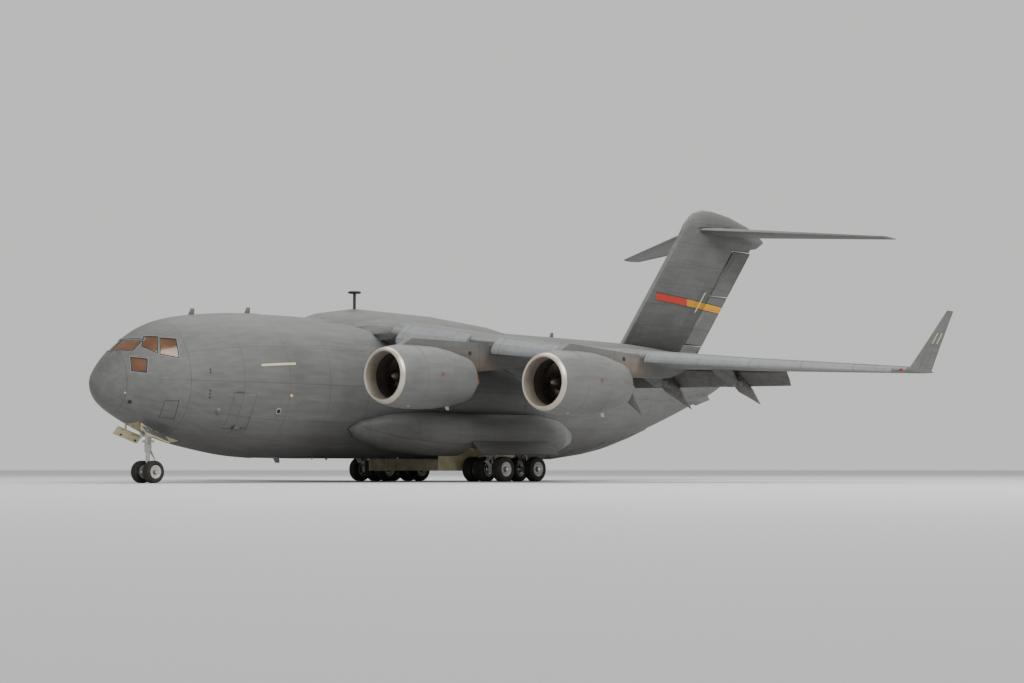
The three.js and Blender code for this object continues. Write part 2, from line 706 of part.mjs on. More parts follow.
function pylon({ side, lip, level }) {
  const wing = wingAt(side);
  const nose = wing.front;
  const outline = [
    [lip + 900, level + 1350], [lip + 1700, level + 1780], [nose - 600, wing.level + 150],
    [nose + 900, wing.level + 100], [nose + 4300, wing.level - 350], [nose + 2600, wing.level - 900],
    [lip + 6500, level + 420], [lip + 4600, level + 600],
  ];
  const slab = prismAcross(outline, [side - 230, side + 230]);
  const wider = (rows) => rows.map(([station, radius]) => [station, radius + SEAT_GAP]);
  const around = turnedAlong(
    shifted([[60, 0], ...wider(NACELLE_OUTSIDE), [5300, 0]], lip), side, level, ENGINE_SEGMENTS,
  );
  const coreAround = turnedAlong(
    shifted([[FAN_REAR, 0], ...wider(CORE_OUTLINE.slice(1, -1)), [6400, 0]], lip), side, level, CORE_SEGMENTS,
  );
  return cut(slab, around, coreAround);
}

// Flap hinges lie below the wing. Each has a leaf-shaped fairing whose rear part moves with the flap:
// front end of the fairing, and how far its tip lies behind and above the hinge with the flap drawn in
const HINGES = {
  inboard: [
    { side: 5200, front: 20700, reach: 3490, rise: 1060 },
    { side: 9770, front: 21300, reach: 3030, rise: 420 },
  ],
  outboard: [
    { side: 12450, front: 22700, reach: 2720, rise: 500 },
    { side: 16130, front: 24250, reach: 2250, rise: 520 },
  ],
};
const FLAPS = {
  inboard: { sides: INBOARD_FLAP, hinges: HINGES.inboard },
  outboard: { sides: OUTBOARD_FLAP, hinges: HINGES.outboard },
};
const HINGE_CHORD = 0.80;
const HINGE_DROP = 0.085;
const HINGE_BELOW = 350;
const KNUCKLE = { half: 200, radius: 110, lug: 300 };

// Outline of a lug beside a knuckle, by distance ahead of the hinge line and above it
const LUG_OUTLINE = [[-90, -60], [-90, 60], [0, 110], [340, 150], [340, -100], [0, -110]];

function hingePoint(side) {
  const at = wingAt(side);
  return chordPoint(at, HINGE_CHORD, -HINGE_DROP * at.chord - HINGE_BELOW);
}

function aboutLine(solid, from, to, angle) {
  const direction = new THREE.Vector3().subVectors(to, from).normalize();
  const turn = new THREE.Matrix4().makeTranslation(from.x, from.y, from.z);
  turn.multiply(new THREE.Matrix4().makeRotationAxis(direction, degrees(angle)));
  turn.multiply(new THREE.Matrix4().makeTranslation(-from.x, -from.y, -from.z));
  return solid.transform([...turn.elements]);
}

const LEAF_POINTS = 8;

// A closed body of upright rings from rows of station, bottom, top and half width at one side
function leaf(side, rows) {
  return loft(rows.map(([station, bottom, top, half]) => {
    const ring = [];
    for (let k = 0; k < LEAF_POINTS; k += 1) {
      const angle = (2 * Math.PI * k) / LEAF_POINTS + Math.PI / 2;
      const rise = ((top - bottom) / 2) * Math.sin(angle);
      const across = half * Math.sign(Math.cos(angle)) * Math.abs(Math.cos(angle)) ** 0.8;
      ring.push(point(station, side + across, (top + bottom) / 2 + rise));
    }
    return ring;
  }));
}

const levelOf = (place) => place.z - AXIS_HEIGHT;
const stationOf = (place) => LENGTH / 2 - place.x;

// Level within the wing at a station: a share of the half thickness above the chord line
function levelInWing(at, station, share) {
  const fraction = Math.min(Math.max((station - at.front) / at.chord, 0.02), 0.97);
  return levelOf(chordPoint(at, fraction, share * halfThick(at, fraction)));
}

// Rear part of a hinge fairing, which moves with the flap
function flapLeaf({ side, reach, rise }) {
  const at = wingAt(side);
  const hinge = hingePoint(side);
  const [station, level] = [stationOf(hinge), levelOf(hinge)];
  const top = (shift) => levelInWing(at, station + shift, -0.3);
  return leaf(side, [
    [station - 170, level - 150, top(-170), 165],
    [station + 120, level - 165, top(120), 185],
    [station + 600, level - 110, top(600), 235],
    [station + reach * 0.55, level + rise * 0.3, Math.max(level + rise * 1.05, top(reach * 0.45)), 175],
    [station + reach, level + rise - 15, level + rise + 15, 15],
  ]);
}

// Front part of a hinge fairing, fixed under the wing
function hingeFairing({ side, front }) {
  const at = wingAt(side);
  const hinge = hingePoint(side);
  const [station, level] = [stationOf(hinge), levelOf(hinge)];
  const reach = station - front;
  const skin = (share) => levelInWing(at, front + reach * share, -LOWER_SHARE);
  const top = (share) => levelInWing(at, front + reach * share, 0);
  const body = leaf(side, [
    [front - 100, skin(0) + 30, skin(0) + 90, 20],
    [front + reach * 0.3, skin(0.3) + (level - 150 - skin(0.3)) * 0.45, top(0.3), 150],
    [front + reach * 0.62, skin(0.62) + (level - 150 - skin(0.62)) * 0.85, top(0.62), 240],
    [station - 700, level - 160, top(0.75), 290],
    [station - 240, level - 160, level + 400, 310],
  ]);
  const above = wingSlice([side - 400, side + 400], SPAR_CHORD + 0.0005, 1, 40);
  return cut(body, above);
}

// Where along a flap's hinge line its two hinges lie
function hingeLine({ hinges }) {
  const [from, to] = hinges.map(({ side }) => hingePoint(side));
  return { from, to, middles: [0, from.distanceTo(to)] };
}

function knuckles(layout) {
  const { from, to, middles } = hingeLine(layout);
  const { half, radius } = KNUCKLE;
  return middles.map((middle) => pin(from, to, [middle - half, middle + half], radius, 10));
}

// Lugs fixed to the wing: plates square to the hinge line, just clear of the knuckle's faces
function lugs(layout) {
  const { from, to, middles } = hingeLine(layout);
  const line = new THREE.Vector3().subVectors(to, from).normalize();
  const ahead = new THREE.Vector3(line.y, -line.x, 0).normalize();
  const up = new THREE.Vector3().crossVectors(ahead, line);
  const ring = (distance) => LUG_OUTLINE.map(([front, rise]) => (
    from.clone().addScaledVector(line, distance).addScaledVector(ahead, front).addScaledVector(up, rise)
  ));
  const near = KNUCKLE.half + SEAT_GAP;
  return middles.flatMap((middle) => [
    loft([ring(middle - KNUCKLE.lug), ring(middle - near)]),
    loft([ring(middle + near), ring(middle + KNUCKLE.lug)]),
  ]);
}

const FLAP_OUTLINE = [
  [FLAP_NOSE, -0.2], [0.785, 0.16], [0.865, 0.16], [0.89, UPPER_SHARE], [1, UPPER_SHARE],
  [1, -LOWER_SHARE], [0.88, -LOWER_SHARE], [0.775, -0.75],
];
const FLAP_OVERRUN = 0.2;

// A flap between planes square to its hinge line, lowered for landing
function flap({ sides, hinges }) {
  const [from, to] = hinges.map(({ side }) => hingePoint(side));
  const line = new THREE.Vector3().subVectors(to, from).normalize();
  const [inner, outer] = sides.map(wingAt).map((at) => FLAP_OUTLINE.map(([fraction, share]) => (
    chordPoint(at, fraction, share * halfThick(at, fraction))
  )));
  const beyond = (near, far) => near.map((p, k) => p.clone().lerp(far[k], -FLAP_OVERRUN));
  const ends = sides.map((side) => hingePoint(side));
  const slice = loft([beyond(inner, outer), beyond(outer, inner)])
    .trimByPlane(line.toArray(), line.dot(ends[0]))
    .trimByPlane(line.clone().negate().toArray(), -line.dot(ends[1]));
  const whole = join(slice, ...hinges.map(flapLeaf), ...knuckles({ hinges }));
  return aboutLine(whole, from, to, -FLAP_ANGLE);
}

// Fixed upper skin that runs over the flap's nose
const SHROUD_SHARE = 0.5;

const shroud = (sides) => wingRows(sides, (at) => {
  const rows = [[SPAR_CHORD - ROOT_REACH, ROOT_SHARE, 0], [SPAR_CHORD + 0.0005, UPPER_SHARE, SHROUD_SHARE]];
  rows.push([SHROUD_END, UPPER_SHARE, SHROUD_SHARE]);
  const rise = (fraction, share) => chordPoint(at, fraction, share * halfThick(at, fraction));
  const upper = rows.map(([fraction, over]) => rise(fraction, over));
  const lower = rows.map(([fraction, over, under]) => rise(fraction, under));
  return [...upper, ...lower.reverse()];
});

// Hinge lines of the control surfaces, and the bosses and pins that carry them
const BOSS = { out: 26, radius: 34, root: 80 };
const ELEVATOR_BOSS = 20;

const aileronLine = () => AILERON.map((side) => chordPoint(wingAt(side), SURFACE_CHORD));

function bosses([from, to], out = BOSS.out, radius = BOSS.radius) {
  const reach = from.distanceTo(to);
  return [
    pin(from, to, [-out, BOSS.root], radius),
    pin(from, to, [reach - BOSS.root, reach + out], radius),
  ];
}

function aileron() {
  return join(wingSlice(AILERON, SURFACE_CHORD, 1), ...bosses(aileronLine()));
}

function aileronCarriers() {
  const [from, to] = aileronLine();
  const reach = from.distanceTo(to);
  const line = new THREE.Vector3().subVectors(to, from).normalize();
  const middle = from.clone().addScaledVector(line, -75);
  return [
    pin(from, to, [reach + BOSS.out + SEAT_GAP, reach + 110], BOSS.radius),
    pin(from, to, [-110, -BOSS.out - SEAT_GAP], BOSS.radius),
    bar(chordPoint(wingAt(middle.y), SPAR_CHORD - 0.01), middle, 26, 6),
  ];
}

function wing() {
  const whole = wingRows([WING_ROOT, WING_TIP], (at) => sectionRing(at, 0, SPAR_CHORD));
  const between = [OUTBOARD_FLAP[1] + 2 * END_GAP, AILERON[1] + END_GAP];
  const beside = rootedSlice(between, SURFACE_CHORD - SURFACE_SLOT);
  const tip = rootedSlice([AILERON[1] + END_GAP, WING_TIP], 1);
  const shrouds = shroud([WING_ROOT + 300, OUTBOARD_FLAP[1] + END_GAP]);
  const fairings = Object.values(FLAPS).flatMap(({ hinges }) => hinges.map(hingeFairing));
  return join(
    whole, beside, tip, winglet(), shrouds, ...SLATS.map(slat), ...Object.values(ENGINES).map(pylon),
    ...fairings, ...Object.values(FLAPS).flatMap(lugs), ...aileronCarriers(),
  );
}

// Fin, rudders, stabiliser and elevators
const FIN_TABLE = [
  { level: 2600, front: 37250, chord: 8000, thick: 780 },
  { level: 10800, front: 44150, chord: 8290, thick: 580 },
];
const RUDDER_CHORD = 0.75;
const RUDDER_SLOT = 0.02;
const RUDDER_GAP = 160;
const RUDDER_SPLIT = 6800;
const RUDDER_FOOT = 3700;
const RUDDER_HEAD = 9750;
const RUDDER_BOSS = { out: 45, radius: 26 };
const STAB_LEVEL = 10850;
const STAB_TIP = 9905;
const FIN_TOP = 10800;
const STAB_TABLE = [
  { side: 0, front: 45300, rear: 51200, level: STAB_LEVEL, wash: 0, thick: 490 },
  { side: STAB_TIP, front: 51150, rear: 52900, level: STAB_LEVEL - 700, wash: 0, thick: 160 },
];
const STAB_ROOT = { half: 640, chord: 0.80 };
const ELEVATOR = [700, 9700];

const finAt = (level) => ({ ...mixRows(FIN_TABLE, 'level', level), side: 0 });

function finRing(level, from, to) {
  const at = finAt(level);
  const count = from === 0 ? 6 : 3;
  const sides = [1, -1].map((hand) => {
    const edge = [];
    for (let k = 0; k <= count; k += 1) {
      const spread = from === 0 ? 1 - Math.cos((Math.PI / 2) * (k / count)) : k / count;
      const fraction = from + (to - from) * spread;
      edge.push(point(at.front + fraction * at.chord, hand * halfThick(at, fraction), level));
    }
    return edge;
  });
  if (from === 0) sides[1].shift();
  return [...sides[0], ...sides[1].reverse()];
}

const finSlice = (levels, from, to) => loft(levels.map((level) => finRing(level, from, to)));

// Fixed part of the fin beside a rudder's end, rooted inside the blade
const finRear = (levels, to) => loft(levels.map((level) => {
  const at = finAt(level);
  const start = RUDDER_CHORD - RUDDER_SLOT;
  const half = ROOT_SHARE * halfThick(at, start - ROOT_REACH);
  const root = [half, -half].map((side) => point(at.front + (start - ROOT_REACH) * at.chord, side, level));
  return [root[0], ...finRing(level, start + 0.0005, to), root[1]];
}));

const finPoint = (level, fraction) => point(finAt(level).front + fraction * finAt(level).chord, 0, level);

function stabAt(side) {
  const row = mixRows(STAB_TABLE, 'side', Math.abs(side));
  return { ...row, side, chord: row.rear - row.front };
}

const STAB_SPAR = SURFACE_CHORD - SURFACE_SLOT;
const stabLoft = (sides, ring) => loft(sides.map((side) => ring(stabAt(side))));
const stabBlade = (sides, grow = 0) => stabLoft(sides, (at) => sectionRing(at, 0, STAB_SPAR, grow, 6));
const stabRear = (sides, to, grow = 0) => stabLoft(sides, (at) => rootedRing(at, STAB_SPAR, to, grow));

// Middle of the stabiliser with the wall that carries the elevators' inner pins
const stabMiddle = (sides, grow) => join(
  stabBlade(sides, grow), stabRear([-STAB_ROOT.half - grow, 0, STAB_ROOT.half + grow], STAB_ROOT.chord, grow),
);

// Fairing at the fin's head: half width, top and bottom by station
const BULLET_TABLE = [
  { station: 43900, half: 30, top: 10520, bottom: 10400 },
  { station: 44500, half: 230, top: 11250, bottom: 10220 },
  { station: 45300, half: 380, top: 11890, bottom: 10130 },
  { station: 46300, half: 470, top: 12160, bottom: 10060 },
  { station: 47300, half: 500, top: 12190, bottom: 10010 },
  { station: 49200, half: 480, top: 12010, bottom: 9980 },
  { station: 51000, half: 380, top: 11620, bottom: 10010 },
  { station: 52300, half: 230, top: 11180, bottom: 10230 },
  { station: LENGTH, half: 40, top: 10800, bottom: 10640 },
];
const BULLET_POINTS = 12;

const bullet = () => loft(BULLET_TABLE.map(({ station, half, top, bottom }) => {
  const ring = [];
  const [middle, rise] = [(top + bottom) / 2, (top - bottom) / 2];
  for (let k = 0; k < BULLET_POINTS; k += 1) {
    const angle = (2 * Math.PI * k) / BULLET_POINTS;
    ring.push(point(station, half * Math.cos(angle), middle + rise * Math.sin(angle)));
  }
  return ring;
}));

// Pins of the rudders: at the foot, at the split between the two and at the head
function rudderPins() {
  const [from, to] = [finPoint(RUDDER_FOOT, RUDDER_CHORD), finPoint(RUDDER_HEAD, RUDDER_CHORD)];
  const lean = (to.z - from.z) / from.distanceTo(to);
  const along = (level) => (level - RUDDER_FOOT) / lean;
  const { radius } = RUDDER_BOSS;
  const out = RUDDER_BOSS.out + SEAT_GAP;
  const [low, high] = [along(RUDDER_SPLIT - RUDDER_GAP / 2), along(RUDDER_SPLIT + RUDDER_GAP / 2)];
  const head = along(RUDDER_HEAD);
  return [
    pin(from, to, [-190, -out], radius),
    pin(from, to, [low + out, high - out], radius),
    pin(from, to, [head + out, head + 260], radius),
    bar(finPoint(RUDDER_SPLIT, RUDDER_CHORD - 0.03), finPoint(RUDDER_SPLIT, RUDDER_CHORD), 20, 6),
  ];
}

function fin() {
  const blade = finSlice([2600, FIN_TOP], 0, RUDDER_CHORD - RUDDER_SLOT);
  const foot = finRear([2600, RUDDER_FOOT - 100], 1);
  const head = finRear([RUDDER_HEAD + RUDDER_GAP, FIN_TOP], 0.97);
  const body = bodyLoft([36000, 38000, 40000, 42000, 43800, 45500, 46800, 47800], -SEAT_GAP);
  const under = box([35000, 49000], [-3000, 3000], [-3000, 2600]);
  const root = stabMiddle([-1200, 0, 1200], 2 * SEAT_GAP);
  return cut(join(blade, foot, head, bullet(), ...rudderPins()), body, under, root);
}

const elevatorLine = () => ELEVATOR.map((side) => chordPoint(stabAt(side), SURFACE_CHORD));

function stabiliser() {
  const [from, to] = elevatorLine();
  const reach = from.distanceTo(to);
  const port = () => join(
    stabRear([ELEVATOR[1] + END_GAP, STAB_TIP], 1),
    pin(from, to, [-100, -BOSS.out - SEAT_GAP], ELEVATOR_BOSS),
    pin(from, to, [reach + BOSS.out + SEAT_GAP, reach + 110], ELEVATOR_BOSS),
  );
  const middle = stabRear([-STAB_ROOT.half, 0, STAB_ROOT.half], STAB_ROOT.chord);
  return join(stabBlade([-STAB_TIP, 0, STAB_TIP]), middle, ...bothSides(port));
}

const elevator = () => join(
  stabLoft(ELEVATOR, (at) => sectionRing(at, SURFACE_CHORD, 1, 0, 3)),
  ...bosses(elevatorLine(), BOSS.out, ELEVATOR_BOSS),
);

function rudder(levels) {
  const line = levels.map((level) => finPoint(level, RUDDER_CHORD));
  return join(finSlice(levels, RUDDER_CHORD, 1), ...bosses(line, RUDDER_BOSS.out, RUDDER_BOSS.radius));
}

// Main gear pods beside the belly: station, side and level of the middle, half width and half height
const POD_TABLE = [
  { station: 13050, side: 2850, level: -2050, half: 60, rise: 60 },
  { station: 13600, side: 2930, level: -2080, half: 500, rise: 450 },
  { station: 15200, side: 3120, level: -2150, half: 1050, rise: 850 },
  { station: 17800, side: 3300, level: -2200, half: 1400, rise: 1080 },
  { station: 19600, side: 3350, level: -2220, half: 1450, rise: 1100 },
  { station: 25700, side: 3350, level: -2220, half: 1450, rise: 1100 },
  { station: 27600, side: 3180, level: -2220, half: 1180, rise: 900 },
  { station: 29200, side: 2850, level: -2250, half: 600, rise: 450 },
  { station: 29900, side: 2620, level: -2280, half: 60, rise: 60 },
];
const POD_POINTS = 24;
const POD_SQUARE = 2.5;
const WHEEL_BAY = { stations: [19650, 25650], sides: [2450, 4560], roof: -2150 };

function podRing({ station, side, level, half, rise }, grow = 0) {
  const ring = [];
  for (let k = 0; k < POD_POINTS; k += 1) {
    const angle = (2 * Math.PI * k) / POD_POINTS;
    const [c, s] = [Math.cos(angle), Math.sin(angle)];
    const out = (half + grow) * Math.sign(c) * Math.abs(c) ** (2 / POD_SQUARE);
    const up = (rise + grow) * Math.sign(s) * Math.abs(s) ** (2 / POD_SQUARE);
    ring.push(point(station, side + out, level + up));
  }
  return ring;
}

function pod() {
  const body = bodyLoft([13000, 31000], -SEAT_GAP);
  const bay = box(WHEEL_BAY.stations, WHEEL_BAY.sides, [-3800, WHEEL_BAY.roof]);
  return cut(loft(POD_TABLE.map((row) => podRing(row))), body, bay);
}

// Main gear doors: the inner one hangs beside the bay's inner wall, the outer one under the pod's edge
const MAIN_DOOR = { stations: [19700, 25600], thick: 55, levels: [-4050, -2650] };
const OUTER_DOOR = { top: [4700, -2520], foot: [5510, -3230], thick: 50 };

function innerDoor() {
  const inside = WHEEL_BAY.sides[0] + SEAT_GAP;
  return box(MAIN_DOOR.stations, [inside, inside + MAIN_DOOR.thick], MAIN_DOOR.levels);
}

// A flat panel across the plane's length, by its two edges as [side, level]
function panel(stations, starts, ends, thick) {
  const rings = stations.map((station, k) => {
    const edge = [point(station, ...starts[k]), point(station, ...ends[k])];
    const run = new THREE.Vector3().subVectors(edge[1], edge[0]).normalize();
    const across = new THREE.Vector3(0, -run.z, run.y).multiplyScalar(thick / 2);
    return [
      edge[0].clone().add(across), edge[1].clone().add(across),
      edge[1].clone().sub(across), edge[0].clone().sub(across),
    ];
  });
  return loft(rings);
}

function outerDoor() {
  const { top, foot, thick } = OUTER_DOOR;
  const sheet = panel(MAIN_DOOR.stations, [top, top], [foot, foot], thick);
  return cut(sheet, loft(POD_TABLE.map((row) => podRing(row, SEAT_GAP))));
}

// Nose gear doors: splayed panels on arms from the bay's side walls
const NOSE_DOOR = {
  stations: [2150, 3500],
  starts: [[810, -2040], [810, -2480]],
  ends: [[1190, -2360], [1190, -2800]],
  thick: 45,
};
const NOSE_DOOR_ARMS = [[2400, -2200], [3250, -2530]];

function noseDoor() {
  const { stations, starts, ends, thick } = NOSE_DOOR;
  const sheet = panel(stations, starts, ends, thick);
  const wall = NOSE_BAY.half - SEAT_GAP;
  const arms = NOSE_DOOR_ARMS.map(([station, level]) => join(
    box([station - 35, station + 35], [wall - 70, wall], [level - 40, level + 700]),
    bar(point(station, wall - 35, level), point(station, 1000, level - 60), 30, 8),
  ));
  return join(sheet, ...arms);
}

// Wheels: tyres on their rims, fixed to a turning axle. Each tyre stands on one of its flat faces.
const TYRE_SEGMENTS = 16;
const HALF_SEGMENT = Math.PI / TYRE_SEGMENTS;

function wheelSet(station, sides, tyre, axleRadius, ends) {
  const { radius, width } = tyre;
  const level = radius - AXIS_HEIGHT;
  const tread = radius / Math.cos(HALF_SEGMENT);
  const tyres = sides.map((side) => turnedAcross([
    [side - width / 2, 0], [side - width / 2, tread * 0.78], [side - width / 3, tread],
    [side + width / 3, tread], [side + width / 2, tread * 0.78], [side + width / 2, 0],
  ], station, radius, TYRE_SEGMENTS, HALF_SEGMENT));
  return join(crossBar(ends, station, level, axleRadius, TYRE_SEGMENTS), ...tyres);
}

const AXLE = { main: 95, nose: 70 };
const BORE_SLACK = 5;
const MAIN_BLOCK = { sides: [4270, 4810], radius: 190 };
const NOSE_BLOCK = { half: 150, radius: 150 };

// Collars on an axle, just clear of the faces of the block that carries it
function collars(station, block, tyre, radius, width) {
  const inner = [block[0] - SEAT_GAP - width, block[0] - SEAT_GAP];
  const outer = [block[1] + SEAT_GAP, block[1] + SEAT_GAP + width];
  const level = tyre.radius - AXIS_HEIGHT;
  return [inner, outer].map((sides) => crossBar(sides, station, level, radius, TYRE_SEGMENTS));
}

function mainWheels(station) {
  const set = wheelSet(station, MAIN_WHEELS_Y, MAIN_TYRE, AXLE.main, [2800, 5420]);
  return join(set, ...collars(station, MAIN_BLOCK.sides, MAIN_TYRE, 150, 65));
}

// Main strut: a leaning post from the bay's roof to the axle block between the outer wheel and the inner pair
const STRUT_TOP_Y = 4130;

function mainStrut(station) {
  const axleLevel = MAIN_TYRE.radius - AXIS_HEIGHT;
  const roof = WHEEL_BAY.roof - SEAT_GAP;
  const foot = point(station, MAIN_STRUT_Y, axleLevel);
  const head = point(station, STRUT_TOP_Y, roof - 60);
  const plate = box(
    [station - 300, station + 300], [STRUT_TOP_Y - 220, STRUT_TOP_Y + 220], [roof - 90, roof],
  );
  const post = pin(head, foot, [0, 1050], 150, 12);
  const piston = bar(foot, head, 110, 12);
  const block = crossBar(MAIN_BLOCK.sides, station, axleLevel, MAIN_BLOCK.radius, 12);
  const bore = crossBar([4200, 4900], station, axleLevel, AXLE.main + BORE_SLACK, 12);
  const brace = bar(point(station - 620, STRUT_TOP_Y, roof - 60), point(station, 4300, -3050), 50, 8);
  const pad = box(
    [station - 720, station - 520], [STRUT_TOP_Y - 90, STRUT_TOP_Y + 90], [roof - 90, roof],
  );
  return cut(join(post, piston, plate, block, brace, pad), bore);
}

// Nose gear: the leg, the steering fork below it and the twin wheels
const NOSE_TYRES_Y = [-410, 410];
const NOSE_PIVOT_LEVEL = -3050;

function noseLeg() {
  const roof = NOSE_BAY.roof - SEAT_GAP;
  const foot = point(NOSE_WHEEL_STATION, 0, NOSE_PIVOT_LEVEL);
  const post = bar(foot, point(NOSE_WHEEL_STATION, 0, roof - 20), 135, 16);
  const plate = box(
    [NOSE_WHEEL_STATION - 260, NOSE_WHEEL_STATION + 260], [-260, 260], [roof - 60, roof],
  );
  const brace = bar(
    point(NOSE_WHEEL_STATION + 900, 0, roof - 60), point(NOSE_WHEEL_STATION, 0, -2750), 55, 8,
  );
  const pad = box(
    [NOSE_WHEEL_STATION + 800, NOSE_WHEEL_STATION + 1000], [-90, 90], [roof - 70, roof],
  );
  return join(post, plate, brace, pad);
}

function noseFork() {
  const axleLevel = NOSE_TYRE.radius - AXIS_HEIGHT;
  const head = point(NOSE_WHEEL_STATION, 0, NOSE_PIVOT_LEVEL - SEAT_GAP);
  const piston = bar(point(NOSE_WHEEL_STATION, 0, axleLevel), head, 100, 16);
  const { half, radius } = NOSE_BLOCK;
  const block = crossBar([-half, half], NOSE_WHEEL_STATION, axleLevel, radius, 16);
  const bore = crossBar([-300, 300], NOSE_WHEEL_STATION, axleLevel, AXLE.nose + BORE_SLACK, 16);
  const tow = box(
    [NOSE_WHEEL_STATION - 330, NOSE_WHEEL_STATION], [-70, 70], [axleLevel - 50, axleLevel + 50],
  );
  return cut(join(piston, block, tow), bore);
}

function noseWheels() {
  const set = wheelSet(NOSE_WHEEL_STATION, NOSE_TYRES_Y, NOSE_TYRE, AXLE.nose, [-620, 620]);
  const faces = [-NOSE_BLOCK.half, NOSE_BLOCK.half];
  return join(set, ...collars(NOSE_WHEEL_STATION, faces, NOSE_TYRE, 120, 70));
}

// The scene graph: every solid becomes one named mesh
const plane = new THREE.Group();

function addPiece(name, solid, colour, roughness = 0.6, metalness = 0.1) {
  const material = new THREE.MeshStandardMaterial({ color: colour, roughness, metalness });
  const mesh = new THREE.Mesh(toGeometry(solid), material);
  mesh.name = name;
  plane.add(mesh);
}

function addPair(name, make, colour, roughness, metalness) {
  const port = make();
  addPiece(`${name}_left`, port, colour, roughness, metalness);
  addPiece(`${name}_right`, mirrored(port), colour, roughness, metalness);
}

addPiece('nose_section', noseSection(), PAINT.body);
addPiece('crew_door', crewDoor(), PAINT.body);
addPiece('cockpit_glass', cockpitGlass(), 0x4a3a22, 0.1, 0.2);
addPiece('flight_deck', flightDeck(), 0x55585a);
addPiece('centre_section', centreSection(), PAINT.body);
addPiece('cargo_floor', cargoFloor(), 0x6a6c6a);
addPiece('aft_section', aftSection(), PAINT.body);
addPiece('ramp', ramp(), PAINT.belly);
addPiece('cargo_door', cargoDoor(), PAINT.belly);
addPiece('wing_centre', wingCentre(), PAINT.body);
addPair('wing', wing, PAINT.body);
for (const [place, layout] of Object.entries(FLAPS)) {
  addPair(`flap_${place}`, () => flap(layout), PAINT.body);
}
addPair('aileron', aileron, PAINT.body);
for (const [place, layout] of Object.entries(ENGINES)) {
  addPair(`engine_${place}`, () => nacelle(layout), PAINT.lip, 0.5, 0.3);
  addPair(`fan_${place}`, () => fan(layout), 0x3c3e40, 0.4, 0.7);
}
addPiece('fin', fin(), PAINT.body);
addPiece('rudder_lower', rudder([RUDDER_FOOT, RUDDER_SPLIT - RUDDER_GAP / 2]), PAINT.body);
addPiece('rudder_upper', rudder([RUDDER_SPLIT + RUDDER_GAP / 2, RUDDER_HEAD]), PAINT.body);
addPiece('stabiliser', stabiliser(), PAINT.body);
addPair('elevator', elevator, PAINT.body);
addPair('pod', pod, PAINT.body);
addPair('main_door_inner', innerDoor, PAINT.door);
addPair('main_door_outer', outerDoor, PAINT.door);
addPair('nose_door', noseDoor, PAINT.door);
for (const [place, station] of Object.entries(MAIN_STATIONS)) {
  addPair(`main_strut_${place}`, () => mainStrut(station), PAINT.leg, 0.4, 0.2);
  addPair(`main_wheels_${place}`, () => mainWheels(station), PAINT.tyre, 0.85, 0);
}
addPiece('nose_leg', noseLeg(), PAINT.leg, 0.4, 0.2);
addPiece('nose_fork', noseFork(), PAINT.leg, 0.4, 0.2);
addPiece('nose_wheels', noseWheels(), PAINT.tyre, 0.85, 0);

plane.scale.setScalar(SCALE);
plane.updateMatrixWorld(true);

export default plane;
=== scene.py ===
import json
import math

import bmesh
import bpy
from mathutils import Matrix, Vector
from mathutils.bvhtree import BVHTree

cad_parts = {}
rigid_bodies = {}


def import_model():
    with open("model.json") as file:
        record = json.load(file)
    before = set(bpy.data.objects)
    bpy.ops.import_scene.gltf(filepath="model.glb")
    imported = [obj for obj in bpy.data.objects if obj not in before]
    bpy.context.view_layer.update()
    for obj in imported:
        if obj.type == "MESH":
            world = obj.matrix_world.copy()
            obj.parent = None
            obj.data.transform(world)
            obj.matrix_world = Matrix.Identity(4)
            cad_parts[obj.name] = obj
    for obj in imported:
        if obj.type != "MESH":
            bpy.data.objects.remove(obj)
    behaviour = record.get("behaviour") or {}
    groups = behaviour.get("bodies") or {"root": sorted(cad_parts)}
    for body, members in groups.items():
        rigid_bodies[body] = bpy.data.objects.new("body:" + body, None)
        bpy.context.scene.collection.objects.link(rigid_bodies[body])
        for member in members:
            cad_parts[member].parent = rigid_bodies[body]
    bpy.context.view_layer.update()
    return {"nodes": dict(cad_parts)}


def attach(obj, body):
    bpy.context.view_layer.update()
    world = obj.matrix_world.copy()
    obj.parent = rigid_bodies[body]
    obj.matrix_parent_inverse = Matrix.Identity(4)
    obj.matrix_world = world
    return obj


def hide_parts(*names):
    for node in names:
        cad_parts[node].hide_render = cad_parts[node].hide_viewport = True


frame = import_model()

SCALE = 0.5
LENGTH = 53.04
AXIS_HEIGHT = 4.6


def at(station, side, level):
    return Vector(((LENGTH / 2 - station) * SCALE, side * SCALE, (AXIS_HEIGHT + level) * SCALE))


# The camera
# It stands on the floor ahead of the port wing, at the photograph's angle round the plane.
CAMERA_AZIMUTH = 131
CAMERA_DISTANCE = 52
CAMERA_HEIGHT = 0.3
CAMERA_LENS = 68
AIM = Vector((0.0, 0.75, 3.75))

azimuth = math.radians(CAMERA_AZIMUTH)
bpy.ops.object.select_all(action="DESELECT")
bpy.ops.object.camera_add()
camera = bpy.context.object
camera.name = "camera"
camera.location = AIM + CAMERA_DISTANCE * Vector((math.sin(azimuth), -math.cos(azimuth), 0))
camera.location.z = CAMERA_HEIGHT
camera.rotation_euler = (AIM - camera.location).to_track_quat("-Z", "Y").to_euler()
camera.data.lens = CAMERA_LENS
camera.data.sensor_width = 36
camera.data.clip_end = 2000
bpy.context.scene.camera = camera


# The studio floor and light
# A pale sheet of matt paper, a soft sky all round and two wide lamps above.
def linear(colour):
    """A colour written as sRGB hex, turned linear."""
    values = [int(colour[k:k + 2], 16) / 255 for k in (1, 3, 5)]
    return [v / 12.92 if v <= 0.04045 else ((v + 0.055) / 1.055) ** 2.4 for v in values] + [1.0]


